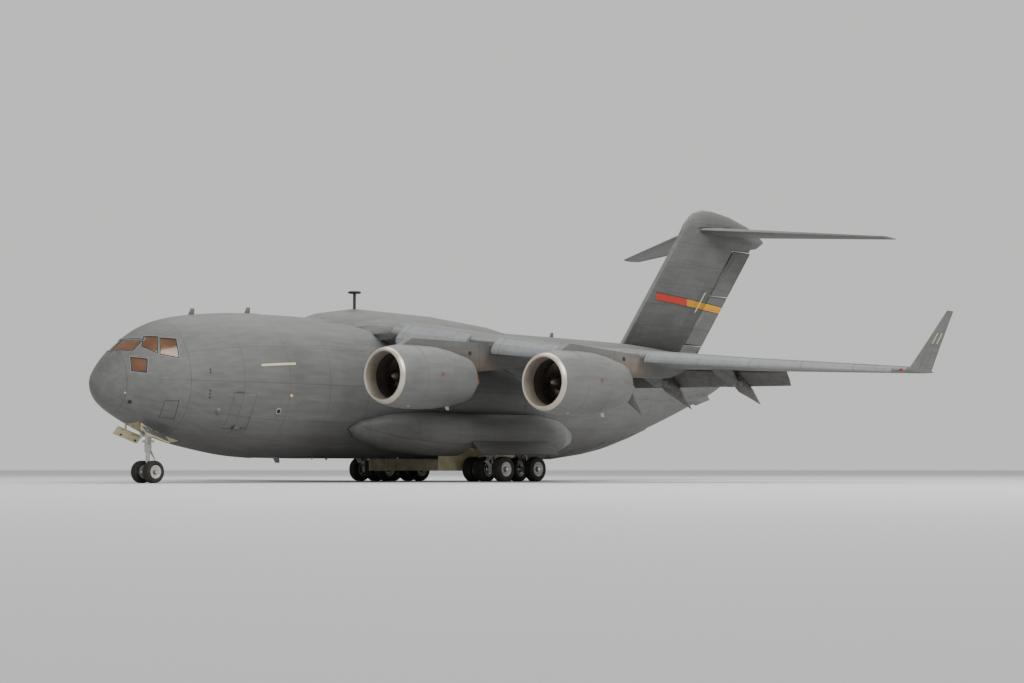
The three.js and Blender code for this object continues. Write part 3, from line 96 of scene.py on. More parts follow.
def add(tree, kind, inputs=None, **settings):
    """A node with its settings, and its sockets set to values or linked to other nodes' outputs."""
    made = tree.nodes.new("ShaderNode" + kind)
    for name, value in settings.items():
        setattr(made, name, value)
    for name, value in (inputs or {}).items():
        if isinstance(value, bpy.types.NodeSocket):
            tree.links.new(value, made.inputs[name])
        else:
            made.inputs[name].default_value = value
    return made


def blank_material(name):
    """A new material with only its surface shader, and that shader."""
    material = bpy.data.materials.new(name)
    material.use_nodes = True
    return material, material.node_tree, material.node_tree.nodes["Principled BSDF"]


FLOOR_SIZE = 2400
paper, tree, shader = blank_material("matt_paper")
cloud = add(tree, "TexNoise", {"Scale": 0.05, "Detail": 2.0})
tone = add(tree, "ValToRGB", {"Fac": cloud.outputs["Fac"]})
tone.color_ramp.elements[0].color = linear("#c9cacb")
tone.color_ramp.elements[1].color = linear("#d2d2d2")
tree.links.new(tone.outputs["Color"], shader.inputs["Base Color"])
shader.inputs["Roughness"].default_value = 0.9

bpy.ops.object.select_all(action="DESELECT")
bpy.ops.mesh.primitive_plane_add(size=FLOOR_SIZE)
floor = bpy.context.object
floor.name = "floor"
floor.data.materials.append(paper)

SKY = "#cccccb"
SKY_STRENGTH = 1.2
world = bpy.data.worlds.new("soft_sky")
bpy.context.scene.world = world
world.use_nodes = True
world.node_tree.nodes["Background"].inputs["Color"].default_value = linear(SKY)
world.node_tree.nodes["Background"].inputs["Strength"].default_value = SKY_STRENGTH

LAMPS = {
    "key_lamp": {"place": (10, 34, 30), "size": 26, "power": 15000},
    "top_lamp": {"place": (-8, -6, 36), "size": 34, "power": 9000},
}
for name, lamp in LAMPS.items():
    bpy.ops.object.light_add(type="AREA", location=lamp["place"])
    light = bpy.context.object
    light.name = name
    light.data.size = lamp["size"]
    light.data.energy = lamp["power"]
    light.rotation_euler = (Vector((0, 0, 3)) - light.location).to_track_quat("-Z", "Y").to_euler()


# The grey topcoat
# Matt polyurethane paint over aluminium skin: even grey, a little patchy, with dark sealed
# seams between the skin panels. The seams are drawn about 9 mm wide so that they show.
GREY = "#656564"
GREY_DARK = "#575755"
SEAM = "#36383a"
SEAM_WIDTH = 0.010
PAINT_ROUGHNESS = 0.56
STREAK_LENGTH = 1.6
GRIT = 0.012


def seams(tree, coordinate, spacing, width=SEAM_WIDTH):
    """A mask that is 1 on lines a spacing apart along a coordinate."""
    near = add(tree, "Math", {0: coordinate, 1: spacing / 2}, operation="PINGPONG")
    return add(tree, "Math", {0: near.outputs[0], 1: width / 2}, operation="LESS_THAN").outputs[0]


def total(tree, kind, *values):
    """Several values taken together by one math operation."""
    whole = values[0]
    for value in values[1:]:
        whole = add(tree, "Math", {0: whole, 1: value}, operation=kind).outputs[0]
    return whole


def split_place(tree):
    """The object's coordinates, whole and as X, Y and Z."""
    place = add(tree, "TexCoord").outputs["Object"]
    parts = add(tree, "SeparateXYZ", {0: place})
    return place, parts.outputs[0], parts.outputs[1], parts.outputs[2]


def topcoat(name, line_mask, light=GREY, dark=GREY_DARK, roughness=PAINT_ROUGHNESS, over=None):
    """Grey paint whose seams are where line_mask says. over(tree, x, y, z, colour) may paint on it."""
    material, tree, shader = blank_material(name)
    place, x, y, z = split_place(tree)
    patches = add(tree, "TexNoise", {"Vector": place, "Scale": 0.9, "Detail": 5.0, "Roughness": 0.6})
    drawn = add(tree, "Mapping", {"Vector": place, "Scale": (1 / STREAK_LENGTH, 5.0, 5.0)})
    streaks = add(tree, "TexNoise", {"Vector": drawn.outputs[0], "Scale": 2.0, "Detail": 4.0})
    mixed = total(tree, "ADD", patches.outputs["Fac"], streaks.outputs["Fac"])
    spread = add(tree, "MapRange", {"Value": mixed, "From Min": 0.75, "From Max": 1.25})
    base = add(tree, "Mix", {0: spread.outputs[0], 6: linear(dark), 7: linear(light)}, data_type="RGBA")
    colour = base.outputs[2]
    if over:
        colour = over(tree, x, y, z, colour)
    lines = line_mask(tree, x, y, z)
    seam_share = total(tree, "MULTIPLY", lines, 0.75)
    sealed = add(tree, "Mix", {0: seam_share, 6: colour, 7: linear(SEAM)}, data_type="RGBA")
    tree.links.new(sealed.outputs[2], shader.inputs["Base Color"])
    rough = add(tree, "MapRange", {
        "Value": patches.outputs["Fac"], "To Min": roughness - 0.07, "To Max": roughness + 0.09})
    tree.links.new(rough.outputs[0], shader.inputs["Roughness"])
    peel = add(tree, "TexNoise", {"Vector": place, "Scale": 1 / GRIT, "Detail": 2.0})
    height = total(tree, "SUBTRACT", total(tree, "MULTIPLY", peel.outputs["Fac"], 0.08), lines)
    bump = add(tree, "Bump", {"Height": height, "Strength": 0.35, "Distance": 0.004})
    tree.links.new(bump.outputs[0], shader.inputs["Normal"])
    return material


FRAME_PITCH = 1.27
STRINGER_PITCH = 0.9


def hull_lines(tree, x, y, z):
    rise = total(tree, "SUBTRACT", z, AXIS_HEIGHT * SCALE)
    turn = total(tree, "ARCTAN2", y, rise)
    around = total(tree, "MULTIPLY", turn, 3.43 * SCALE)
    return total(tree, "MAXIMUM", seams(tree, x, FRAME_PITCH), seams(tree, around, STRINGER_PITCH))


def belly_grime(tree, x, y, z, colour):
    """Brownish grime and oil streaks along the belly, darker towards the keel: the darkening of the low belly is
    painted shade as well as grime.
    """
    place = add(tree, "CombineXYZ", {0: total(tree, "MULTIPLY", x, 0.35), 1: y, 2: z}).outputs[0]
    cloud = add(tree, "TexNoise", {"Vector": place, "Scale": 2.2, "Detail": 7.0, "Roughness": 0.65})
    # low rises towards the keel: painted shade on the underside, mottled with the grime.
    low = add(tree, "MapRange", {
        "Value": z, "From Min": at(0, 0, -1.6).z, "From Max": at(0, 0, -3.3).z, "To Max": 1.0}).outputs[0]
    share = total(tree, "MULTIPLY", low, cloud.outputs["Fac"], 0.95)
    dirty_and_shaded = add(tree, "Mix", {0: share, 6: colour, 7: linear(BELLY_GRIME_AND_SHADE)}, data_type="RGBA")
    return dirty_and_shaded.outputs[2]


# Brown-black for the belly's grime and for the painted shade low on the belly.
BELLY_GRIME_AND_SHADE = "#3b352f"
hull_paint = topcoat("grey_hull_topcoat", hull_lines, over=belly_grime)


# The fuselage skin
# Rolled aluminium panels on frames. Each section's solid is copied, its skin is cut into a fine
# grid and laid on a smooth surface through the solid's own rings.
MERGE = 0.00005
SMOOTH_ANGLE = math.radians(32)
RING_SWELL = 1.0115
SKIN_REACH = 0.045
SKIN_AGREES = 0.75
SECTORS = 72


def only(obj):
    """Selects this object alone and makes it the active one."""
    if bpy.context.mode != "OBJECT":
        bpy.ops.object.mode_set(mode="OBJECT")
    bpy.ops.object.select_all(action="DESELECT")
    obj.select_set(True)
    bpy.context.view_layer.objects.active = obj


def copy_of(node, name):
    """A merged copy of a solid, as an object of its own."""
    made = bpy.data.objects.new(name, frame["nodes"][node].data.copy())
    bpy.context.scene.collection.objects.link(made)
    made.data.materials.clear()
    only(made)
    bpy.ops.object.mode_set(mode="EDIT")
    bpy.ops.mesh.select_all(action="SELECT")
    bpy.ops.mesh.remove_doubles(threshold=MERGE)
    bpy.ops.object.mode_set(mode="OBJECT")
    return made


def finish(piece, body, material, slot, *stands_for, angle=SMOOTH_ANGLE):
    """Sets a piece at the origin, smooths its shading and gives it its finish, slot and body."""
    only(piece)
    bpy.ops.object.transform_apply(location=True, rotation=True, scale=True)
    bpy.ops.object.shade_smooth_by_angle(angle=angle)
    if material:
        piece.data.materials.clear()
        piece.data.materials.append(material)
    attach(piece, body)
    if stands_for:
        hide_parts(*stands_for)
    return piece


def smooth_hull(node, stations):
    """The closed smooth surface through the rings that a section's solid has at these stations."""
    hull = copy_of(node, node + "_surface")
    rings = [at(station, 0, 0).x for station in stations]
    mesh = bmesh.new()
    mesh.from_mesh(hull.data)
    loose = [v for v in mesh.verts if min(abs(v.co.x - ring) for ring in rings) > 0.0006]
    bmesh.ops.delete(mesh, geom=loose, context="VERTS")
    bmesh.ops.delete(mesh, geom=list(mesh.faces), context="FACES_ONLY")
    mesh.to_mesh(hull.data)
    mesh.free()
    only(hull)
    bpy.ops.object.mode_set(mode="EDIT")
    bpy.ops.mesh.select_all(action="SELECT")
    bpy.ops.mesh.convex_hull()
    bpy.ops.mesh.tris_convert_to_quads(face_threshold=math.radians(50), shape_threshold=math.radians(60))
    bpy.ops.object.mode_set(mode="OBJECT")
    ends = [min(rings), max(rings)]
    creases = hull.data.attributes.new("crease_edge", "FLOAT", "EDGE")
    for edge in hull.data.edges:
        places = [hull.data.vertices[v].co.x for v in edge.vertices]
        if any(all(abs(place - end) < 0.002 for place in places) for end in ends):
            creases.data[edge.index].value = 1.0
    for vertex in hull.data.vertices:
        vertex.co.y *= RING_SWELL
        vertex.co.z += (vertex.co.z - AXIS_HEIGHT * SCALE) * (RING_SWELL - 1)
    rounding = hull.modifiers.new("rounding", "SUBSURF")
    rounding.levels = rounding.render_levels = 2
    bpy.ops.object.modifier_apply(modifier=rounding.name)
    return hull


def lay_skin(piece, hull, step):
    """Cuts a piece's outer skin into a fine grid and lays it on the smooth hull."""
    surface = BVHTree.FromObject(hull, bpy.context.evaluated_depsgraph_get())
    mesh = bmesh.new()
    mesh.from_mesh(piece.data)

    def on_skin(face):
        place, normal, _, distance = surface.find_nearest(face.calc_center_median())
        return distance < SKIN_REACH and normal.dot(face.normal) > SKIN_AGREES

    mesh.normal_update()
    faces = [face for face in mesh.faces if on_skin(face)]
    along = [v.co.x for face in faces for v in face.verts]
    low, high = min(along), max(along)
    count = max(1, round((high - low) / step))
    cuts = [(Vector((low + (high - low) * k / count, 0, 0)), Vector((1, 0, 0))) for k in range(1, count)]
    axis = at(0, 0, 0)
    for k in range(SECTORS // 2):
        turn = 2 * math.pi * (k + 0.5) / SECTORS
        cuts.append((axis, Vector((0, -math.sin(turn), math.cos(turn)))))
    geometry = faces + list({e for face in faces for e in face.edges})
    geometry += list({v for face in faces for v in face.verts})
    for place, normal in cuts:
        done = bmesh.ops.bisect_plane(mesh, geom=geometry, plane_co=place, plane_no=normal, dist=0.0004)
        geometry = done["geom"]
    moved = {v for face in geometry if isinstance(face, bmesh.types.BMFace) for v in face.verts}
    for vertex in moved:
        place, _, _, distance = surface.find_nearest(vertex.co)
        if distance < SKIN_REACH:
            vertex.co = place
    bmesh.ops.dissolve_degenerate(mesh, dist=0.0008, edges=mesh.edges)
    mesh.to_mesh(piece.data)
    mesh.free()


NOSE_STATIONS = (0, 0.09, 0.3, 0.7, 1.3, 2, 2.8, 3.6, 4.7, 6.2, 8, 9.4997)
MIDDLE_STATIONS = (9.5003, 29.9997)
TAIL_STATIONS = (30.0003, 31.5, 33, 34.5, 36.2, 38, 40, 42, 43.8, 45.5, 46.8, 47.8, 48.4, 48.7)
SKIN_STEP = {"nose": 0.13, "middle": 1.27, "tail": 0.3}

hulls = {
    "nose": smooth_hull("nose_section", NOSE_STATIONS),
    "middle": smooth_hull("centre_section", MIDDLE_STATIONS),
    "tail": smooth_hull("aft_section", TAIL_STATIONS),
}
SKINS = [
    ("nose_section", "nose", "airframe"),
    ("crew_door", "nose", "crew_door"),
    ("centre_section", "middle", "airframe"),
    ("aft_section", "tail", "airframe"),
    ("ramp", "tail", "ramp"),
    ("cargo_door", "tail", "cargo_door"),
]
for node, place, body in SKINS:
    skin = copy_of(node, node + "_skin")
    lay_skin(skin, hulls[place], SKIN_STEP[place])
    finish(skin, body, hull_paint, "body_paint", node)


# Cockpit windows
# Laminated panes with an amber reflective coating, set flush in the skin with a rubber seal
# round each. Pane and seal are laid on the nose's surface from their four corners.
PANES = {
    "front": [(1.69, 0.05, 1.80), (2.18, 0.89, 1.80), (1.56, 0.89, 1.26), (1.01, 0.05, 1.26)],
    "side_front": [(2.25, 0.81, 1.93), (2.72, 1.22, 1.93), (2.43, 1.58, 1.18), (1.98, 1.07, 1.49)],
    "side_rear": [(2.78, 1.31, 1.87), (3.36, 1.69, 1.84), (3.23, 2.07, 1.01), (2.54, 1.65, 1.15)],
    "chin": [(1.40, 1.01, 0.96), (1.96, 1.43, 0.89), (1.85, 1.53, 0.31), (1.33, 1.21, 0.38)],
}
PANE_MARGIN = 0.05
SEAL_WIDTH = 0.035
EDGING_WIDTH = 0.022
PATCH_GRID = 10

glass, tree, shader = blank_material("amber_coated_glass")
place = add(tree, "TexCoord").outputs["Object"]
film = add(tree, "TexNoise", {"Vector": place, "Scale": 3.0, "Detail": 2.0})
tint = add(tree, "ValToRGB", {"Fac": film.outputs["Fac"]})
tint.color_ramp.elements[0].color = linear("#3a2415")
tint.color_ramp.elements[1].color = linear("#7d5433")
tree.links.new(tint.outputs["Color"], shader.inputs["Base Color"])
shader.inputs["Metallic"].default_value = 0.2
shader.inputs["Roughness"].default_value = 0.14
shader.inputs["Coat Weight"].default_value = 0.3

edge_metal, tree, shader = blank_material("pale_pane_edging")
place = add(tree, "TexCoord").outputs["Object"]
wear = add(tree, "TexNoise", {"Vector": place, "Scale": 8.0, "Detail": 4.0})
tone = add(tree, "ValToRGB", {"Fac": wear.outputs["Fac"]})
tone.color_ramp.elements[0].color = linear("#777a7a")
tone.color_ramp.elements[1].color = linear("#8f9292")
tree.links.new(tone.outputs["Color"], shader.inputs["Base Color"])
shader.inputs["Roughness"].default_value = 0.42

rubber, tree, shader = blank_material("black_seal_rubber")
place = add(tree, "TexCoord").outputs["Object"]
dust = add(tree, "TexNoise", {"Vector": place, "Scale": 14.0, "Detail": 4.0})
tone = add(tree, "ValToRGB", {"Fac": dust.outputs["Fac"]})
tone.color_ramp.elements[0].color = linear("#1d1e1f")
tone.color_ramp.elements[1].color = linear("#333435")
tree.links.new(tone.outputs["Color"], shader.inputs["Base Color"])
shader.inputs["Roughness"].default_value = 0.75


def patch(name, corners, hull, lift, thick, hand=1, border=None, cells=PATCH_GRID):
    """A thin sheet laid on a hull between four corners, or only its border of a given width."""
    bpy.ops.object.select_all(action="DESELECT")
    bpy.ops.mesh.primitive_grid_add(x_subdivisions=cells, y_subdivisions=cells, size=2)
    piece = bpy.context.object
    piece.name = name
    a, b, c, d = [at(station, side * hand, level) for station, side, level in corners]
    for vertex in piece.data.vertices:
        u, v = (vertex.co.x + 1) / 2, (vertex.co.y + 1) / 2
        vertex.co = (a * (1 - u) + b * u) * (1 - v) + (d * (1 - u) + c * u) * v
    only(piece)
    if border:
        bpy.ops.object.mode_set(mode="EDIT")
        bpy.ops.mesh.select_all(action="SELECT")
        bpy.ops.mesh.inset(thickness=border * SCALE, depth=0)
        bpy.ops.mesh.delete(type="FACE")
        bpy.ops.object.mode_set(mode="OBJECT")
    wrap = piece.modifiers.new("lay", "SHRINKWRAP")
    wrap.target = hull
    wrap.wrap_method = "NEAREST_SURFACEPOINT"
    wrap.wrap_mode = "ABOVE_SURFACE"
    wrap.offset = lift
    bpy.ops.object.modifier_apply(modifier=wrap.name)
    surface = BVHTree.FromObject(hull, bpy.context.evaluated_depsgraph_get())
    normal = surface.find_nearest(piece.data.vertices[0].co)[1]
    if piece.data.polygons[0].normal.dot(normal) < 0:
        piece.data.flip_normals()
    wall = piece.modifiers.new("thickness", "SOLIDIFY")
    wall.thickness = thick
    wall.offset = -1
    bpy.ops.object.modifier_apply(modifier=wall.name)
    return piece


def grown(corners, margin):
    """The four corners moved out from their middle by a margin."""
    middle = sum((Vector(corner) for corner in corners), Vector()) / 4
    return [tuple(Vector(corner) + (Vector(corner) - middle).normalized() * margin) for corner in corners]


HANDS = {"left": 1, "right": -1}
for hand_name, hand in HANDS.items():
    for name, corners in PANES.items():
        wide = grown(corners, PANE_MARGIN)
        pane = patch(f"pane_{name}_{hand_name}", grown(corners, 0.02), hulls["nose"], -0.004, 0.012, hand)
        finish(pane, "airframe", glass, "glazing")
        seal = patch(f"seal_{name}_{hand_name}", wide, hulls["nose"], 0.006, 0.014, hand, SEAL_WIDTH)
        finish(seal, "airframe", rubber, "glazing")
        outer = grown(corners, PANE_MARGIN + 0.045)
        edging = patch(f"edging_{name}_{hand_name}", outer, hulls["nose"], 0.003, 0.01, hand, EDGING_WIDTH)
        finish(edging, "airframe", edge_metal, "glazing")
coated = copy_of("cockpit_glass", "inner_glass")
finish(coated, "airframe", glass, "glazing", "cockpit_glass")


# Flight deck and cargo floor
# Sandwich floor panels and sheet bulkheads in satin grey interior paint.
cabin_paint, tree, shader = blank_material("satin_interior_paint")
place = add(tree, "TexCoord").outputs["Object"]
wear = add(tree, "TexNoise", {"Vector": place, "Scale": 3.5, "Detail": 6.0})
tone = add(tree, "ValToRGB", {"Fac": wear.outputs["Fac"]})
tone.color_ramp.elements[0].color = linear("#4c504f")
tone.color_ramp.elements[1].color = linear("#6c706e")
tree.links.new(tone.outputs["Color"], shader.inputs["Base Color"])
shader.inputs["Roughness"].default_value = 0.5

finish(copy_of("flight_deck", "flight_deck_panels"), "airframe", cabin_paint, "cabin", "flight_deck")
finish(copy_of("cargo_floor", "cargo_floor_panels"), "airframe", cabin_paint, "cabin", "cargo_floor")


# Wings
# Machined skins over spars and ribs, in the same topcoat. The seams follow the swept spars and
# the ribs. The slats in front are repainted less often and look paler.
SWEEP = 0.531
SPAR_PITCH = 0.62
RIB_PITCH = 1.05
WINGLET_SIDE = 24.9
ENGINES = {
    "inboard": {"side": 7.49, "lip": 10.6, "level": 0.3},
    "outboard": {"side": 13.98, "lip": 14.2, "level": -0.06},
}
HEAT_TAN = "#857361"


def wing_lines(tree, x, y, z):
    out = add(tree, "Math", {0: y}, operation="ABSOLUTE").outputs[0]
    swept = total(tree, "ADD", x, total(tree, "MULTIPLY", out, SWEEP))
    inboard = add(tree, "Math", {0: out, 1: WINGLET_SIDE * SCALE}, operation="LESS_THAN").outputs[0]
    ribs = total(tree, "MULTIPLY", seams(tree, out, RIB_PITCH), inboard)
    return total(tree, "MAXIMUM", ribs, seams(tree, swept, SPAR_PITCH))


def within(tree, value, low, high, soft=0.06):
    """A mask that is 1 between two values and fades to 0 outside them."""
    middle, half = (low + high) / 2, (high - low) / 2
    away = add(tree, "Math", {0: total(tree, "SUBTRACT", value, middle)}, operation="ABSOLUTE")
    return add(tree, "MapRange", {
        "Value": away.outputs[0], "From Min": half + soft, "From Max": half - soft}).outputs[0]


def pylon_heat(tree, x, y, z, colour):
    """Tan stain from the exhaust on the lower rear of each pylon."""
    out = add(tree, "Math", {0: y}, operation="ABSOLUTE").outputs[0]
    for engine in ENGINES.values():
        rear = at(engine["lip"] + 7.4, engine["side"], engine["level"] + 0.3)
        front = at(engine["lip"] + 4.3, engine["side"], engine["level"] + 1.15)
        mask = total(
            tree, "MULTIPLY",
            within(tree, out, rear.y - 0.16, rear.y + 0.16, 0.02),
            within(tree, x, rear.x, front.x, 0.35),
            within(tree, z, rear.z, front.z, 0.22),
        )
        mottle = add(tree, "TexNoise", {"Scale": 4.0, "Detail": 6.0, "Roughness": 0.7})
        share = add(tree, "MapRange", {
            "Value": mottle.outputs["Fac"], "From Min": 0.3, "From Max": 0.6, "To Min": 0.25, "To Max": 0.9})
        stained = add(tree, "Mix", {
            0: total(tree, "MULTIPLY", mask, share.outputs[0]), 6: colour, 7: linear(HEAT_TAN)},
            data_type="RGBA")
        colour = stained.outputs[2]
    return colour


wing_paint = topcoat("grey_wing_topcoat", wing_lines, over=pylon_heat)
slat_paint = topcoat("pale_slat_topcoat", wing_lines, "#7f8182", "#717374")
flap_paint = topcoat("sooted_flap_topcoat", wing_lines, "#605c57", "#484441")
SLAT_SIDES = [(3.9, 6.95), (8.05, 13.45), (14.55, 24.65)]
WING_FRONT = [(0, 13.6), (3.4, 15.35), (10.2, 18.96), (18.6, 23.42), (25.15, 26.9)]


def place_of(point):
    """Station, side and level of a point of the model."""
    return LENGTH / 2 - point.x / SCALE, point.y / SCALE, point.z / SCALE - AXIS_HEIGHT


def wing_front(side):
    """Station of the fixed leading edge at a side."""
    for (side_a, front_a), (side_b, front_b) in zip(WING_FRONT, WING_FRONT[1:]):
        if side <= side_b:
            break
    return front_a + (front_b - front_a) * (side - side_a) / (side_b - side_a)


def paint_faces(piece, material, chosen):
    """Gives a second material to the faces whose middle and normal pass a test."""
    piece.data.materials.append(material)
    index = len(piece.data.materials) - 1
    for face in piece.data.polygons:
        if chosen(place_of(face.center), face.normal):
            face.material_index = index


def on_slat(place, normal):
    station, side, _ = place
    side = abs(side)
    return any(low < side < high for low, high in SLAT_SIDES) and station < wing_front(side) + 0.12


for hand_name in HANDS:
    skin = copy_of(f"wing_{hand_name}", f"wing_{hand_name}_skin")
    finish(skin, "airframe", wing_paint, "body_paint", f"wing_{hand_name}")
    paint_faces(skin, slat_paint, on_slat)
    for node, paint in (("flap_inboard", flap_paint), ("flap_outboard", flap_paint), ("aileron", wing_paint)):
        surface = copy_of(f"{node}_{hand_name}", f"{node}_{hand_name}_skin")
        finish(surface, f"{node}_{hand_name}", paint, "body_paint", f"{node}_{hand_name}")
finish(copy_of("wing_centre", "wing_centre_skin"), "airframe", hull_paint, "body_paint", "wing_centre")


# Engine cowls
# A polished lip and grey composite cowls round each fan, a bronze core cowl with its plug, and
# guide vanes between. Each is a profile spun round the engine's axis, made once and copied.
COWL_STEPS = 96
LIP_PROFILE = [
    (0.2, 1.306), (0.14, 1.285), (0.05, 1.232), (0.0, 1.165), (0.04, 1.112),
    (0.18, 1.070), (0.42, 1.050), (0.66, 1.050), (0.66, 1.10), (0.24, 1.14), (0.2, 1.22),
]
COWL_PROFILE = [
    (0.212, 1.309), (0.30, 1.338), (0.45, 1.372), (0.9, 1.445), (1.52, 1.488), (1.54, 1.474), (1.57, 1.474), (1.59, 1.490),
    (2.4, 1.487), (3.18, 1.462), (3.20, 1.447), (3.23, 1.447), (3.25, 1.458), (4.2, 1.328),
    (5.3, 1.090), (5.3, 1.055), (4.4, 1.13), (3.6, 1.168), (2.4, 1.125), (1.3, 1.052), (0.665, 1.052),
    (0.665, 1.11), (0.28, 1.16), (0.212, 1.24),
]
CORE_PROFILE = [
    (1.57, 0.0), (1.57, 0.36), (2.0, 0.53), (2.4, 0.64), (3.2, 0.73), (4.0, 0.758), (4.7, 0.72),
    (5.4, 0.632), (6.08, 0.50), (6.08, 0.475), (5.5, 0.53), (5.4, 0.30), (5.8, 0.27), (6.15, 0.17),
    (6.38, 0.04), (6.4, 0.0),
]


def spun(name, profile, axis, steps):
    """A closed body made by spinning a profile of (distance along, radius) round an axis."""
    along = Vector(axis)
    out = Vector((0, 0, 1))
    points = [(along * distance + out * radius) * SCALE for distance, radius in profile]
    bpy.ops.object.select_all(action="DESELECT")
    bpy.ops.mesh.primitive_plane_add(size=0.02)
    piece = bpy.context.object
    piece.name = name
    bpy.ops.object.mode_set(mode="EDIT")
    bpy.ops.mesh.select_all(action="SELECT")
    bpy.ops.mesh.merge(type="CENTER")
    bpy.ops.transform.translate(value=points[0])
    closed = profile[0][1] > 0 and profile[-1][1] > 0
    for before, point in zip(points, points[1:] + (points[:1] if closed else [])):
        bpy.ops.mesh.extrude_vertices_move(TRANSFORM_OT_translate={"value": point - before})
    bpy.ops.mesh.select_all(action="SELECT")
    bpy.ops.mesh.spin(steps=steps, angle=2 * math.pi, center=(0, 0, 0), axis=along)
    bpy.ops.mesh.select_all(action="SELECT")
    bpy.ops.mesh.remove_doubles(threshold=MERGE)
    bpy.ops.mesh.dissolve_degenerate(threshold=MERGE)
    bpy.ops.mesh.normals_make_consistent(inside=False)
    bpy.ops.object.mode_set(mode="OBJECT")
    return piece


def copied(piece, name, turn=Matrix.Identity(4)):
    """A copy of a piece with its own mesh, moved by a matrix."""
    made = piece.copy()
    made.data = piece.data.copy()
    made.data.transform(turn)
    if turn.determinant() < 0:
        made.data.flip_normals()
    made.name = name
    bpy.context.scene.collection.objects.link(made)
    return made


def joined(pieces, name):
    """Several pieces as one."""
    only(pieces[0])
    for piece in pieces:
        piece.select_set(True)
    bpy.ops.object.join()
    pieces[0].name = name
    return pieces[0]


def cowl_lines(tree, x, y, z):
    """Seams along the keel and crown of the cowls, and across them."""
    return seams(tree, x, 0.9, 0.006)


cowl_paint = topcoat("grey_cowl_topcoat", cowl_lines, "#6a6a68", "#5c5c5a", 0.48)

lip_metal, tree, shader = blank_material("satin_bare_aluminium")
place = add(tree, "TexCoord").outputs["Object"]
rub = add(tree, "TexNoise", {"Vector": place, "Scale": 5.0, "Detail": 5.0})
tone = add(tree, "ValToRGB", {"Fac": rub.outputs["Fac"]})
tone.color_ramp.elements[0].color = linear("#a99c8c")
tone.color_ramp.elements[1].color = linear("#d3c9bb")
tree.links.new(tone.outputs["Color"], shader.inputs["Base Color"])
shader.inputs["Metallic"].default_value = 0.7
shader.inputs["Roughness"].default_value = 0.38

burnt, tree, shader = blank_material("heat_stained_alloy")
place = add(tree, "TexCoord").outputs["Object"]
drawn = add(tree, "Mapping", {"Vector": place, "Scale": (0.8, 5.0, 5.0)})
stain = add(tree, "TexNoise", {"Vector": drawn.outputs[0], "Scale": 1.5, "Detail": 6.0})
tone = add(tree, "ValToRGB", {"Fac": stain.outputs["Fac"]})
tone.color_ramp.elements[0].position = 0.32
tone.color_ramp.elements[0].color = linear("#4b382b")
tone.color_ramp.elements[1].position = 0.66
tone.color_ramp.elements[1].color = linear("#b59a80")
middle = tone.color_ramp.elements.new(0.48)
middle.color = linear("#8a5d3c")
tree.links.new(tone.outputs["Color"], shader.inputs["Base Color"])
shader.inputs["Metallic"].default_value = 0.75
shader.inputs["Roughness"].default_value = 0.45

# The walls inside each duct are near black and mottled: painted shade deep in the inlet and the bypass duct.
duct_painted_shade, tree, shader = blank_material("duct_lining_painted_shade")
place = add(tree, "TexCoord").outputs["Object"]
mottle = add(tree, "TexNoise", {"Vector": place, "Scale": 6.0, "Detail": 5.0})
tone = add(tree, "ValToRGB", {"Fac": mottle.outputs["Fac"]})
tone.color_ramp.elements[0].color = linear("#26211e")
tone.color_ramp.elements[1].color = linear("#4a423b")
tree.links.new(tone.outputs["Color"], shader.inputs["Base Color"])
shader.inputs["Roughness"].default_value = 0.6

lip = spun("lip", LIP_PROFILE, (-1, 0, 0), COWL_STEPS)
cowl = spun("cowl", COWL_PROFILE, (-1, 0, 0), COWL_STEPS)
core = spun("core", CORE_PROFILE, (-1, 0, 0), 64)

# Guide vanes: thin plates across the duct behind the fan, turned from one shape
VANES = 30
vanes = []
for k in range(VANES):
    bpy.ops.object.select_all(action="DESELECT")
    bpy.ops.mesh.primitive_cube_add(size=1)
    vane = bpy.context.object
    vane.scale = (0.34 * SCALE, 0.03 * SCALE, 0.56 * SCALE)
    vane.location = (-2.15 * SCALE, 0, 0.84 * SCALE)
    bpy.ops.object.transform_apply(location=True, rotation=True, scale=True)
    vane.data.transform(Matrix.Rotation(2 * math.pi * k / VANES, 4, "X"))
    vanes.append(vane)
vane_ring = joined(vanes, "vanes")


# Fans
# Wide titanium blades on a disc with a pointed spinner. A blade is one cross-section extruded
# outwards in steps, each step turned and widened, and then copied round.
FAN_BLADES = 36
BLADE_ROOT = 0.33
BLADE_STEPS = 5
BLADE_SPAN = 0.66
BLADE_TWIST = math.radians(38)
SPINNER_PROFILE = [
    (0.62, 0.0), (0.63, 0.03), (0.70, 0.10), (0.84, 0.20), (1.0, 0.27), (1.18, 0.335), (1.5, 0.40),
    (1.555, 0.40), (1.555, 0.0),
]
titanium, tree, shader = blank_material("dark_titanium")
place = add(tree, "TexCoord").outputs["Object"]
grain = add(tree, "TexNoise", {"Vector": place, "Scale": 9.0, "Detail": 5.0})
tone = add(tree, "ValToRGB", {"Fac": grain.outputs["Fac"]})
tone.color_ramp.elements[0].color = linear("#4a4542")
tone.color_ramp.elements[1].color = linear("#8b8178")
tree.links.new(tone.outputs["Color"], shader.inputs["Base Color"])
shader.inputs["Metallic"].default_value = 0.9
shader.inputs["Roughness"].default_value = 0.36

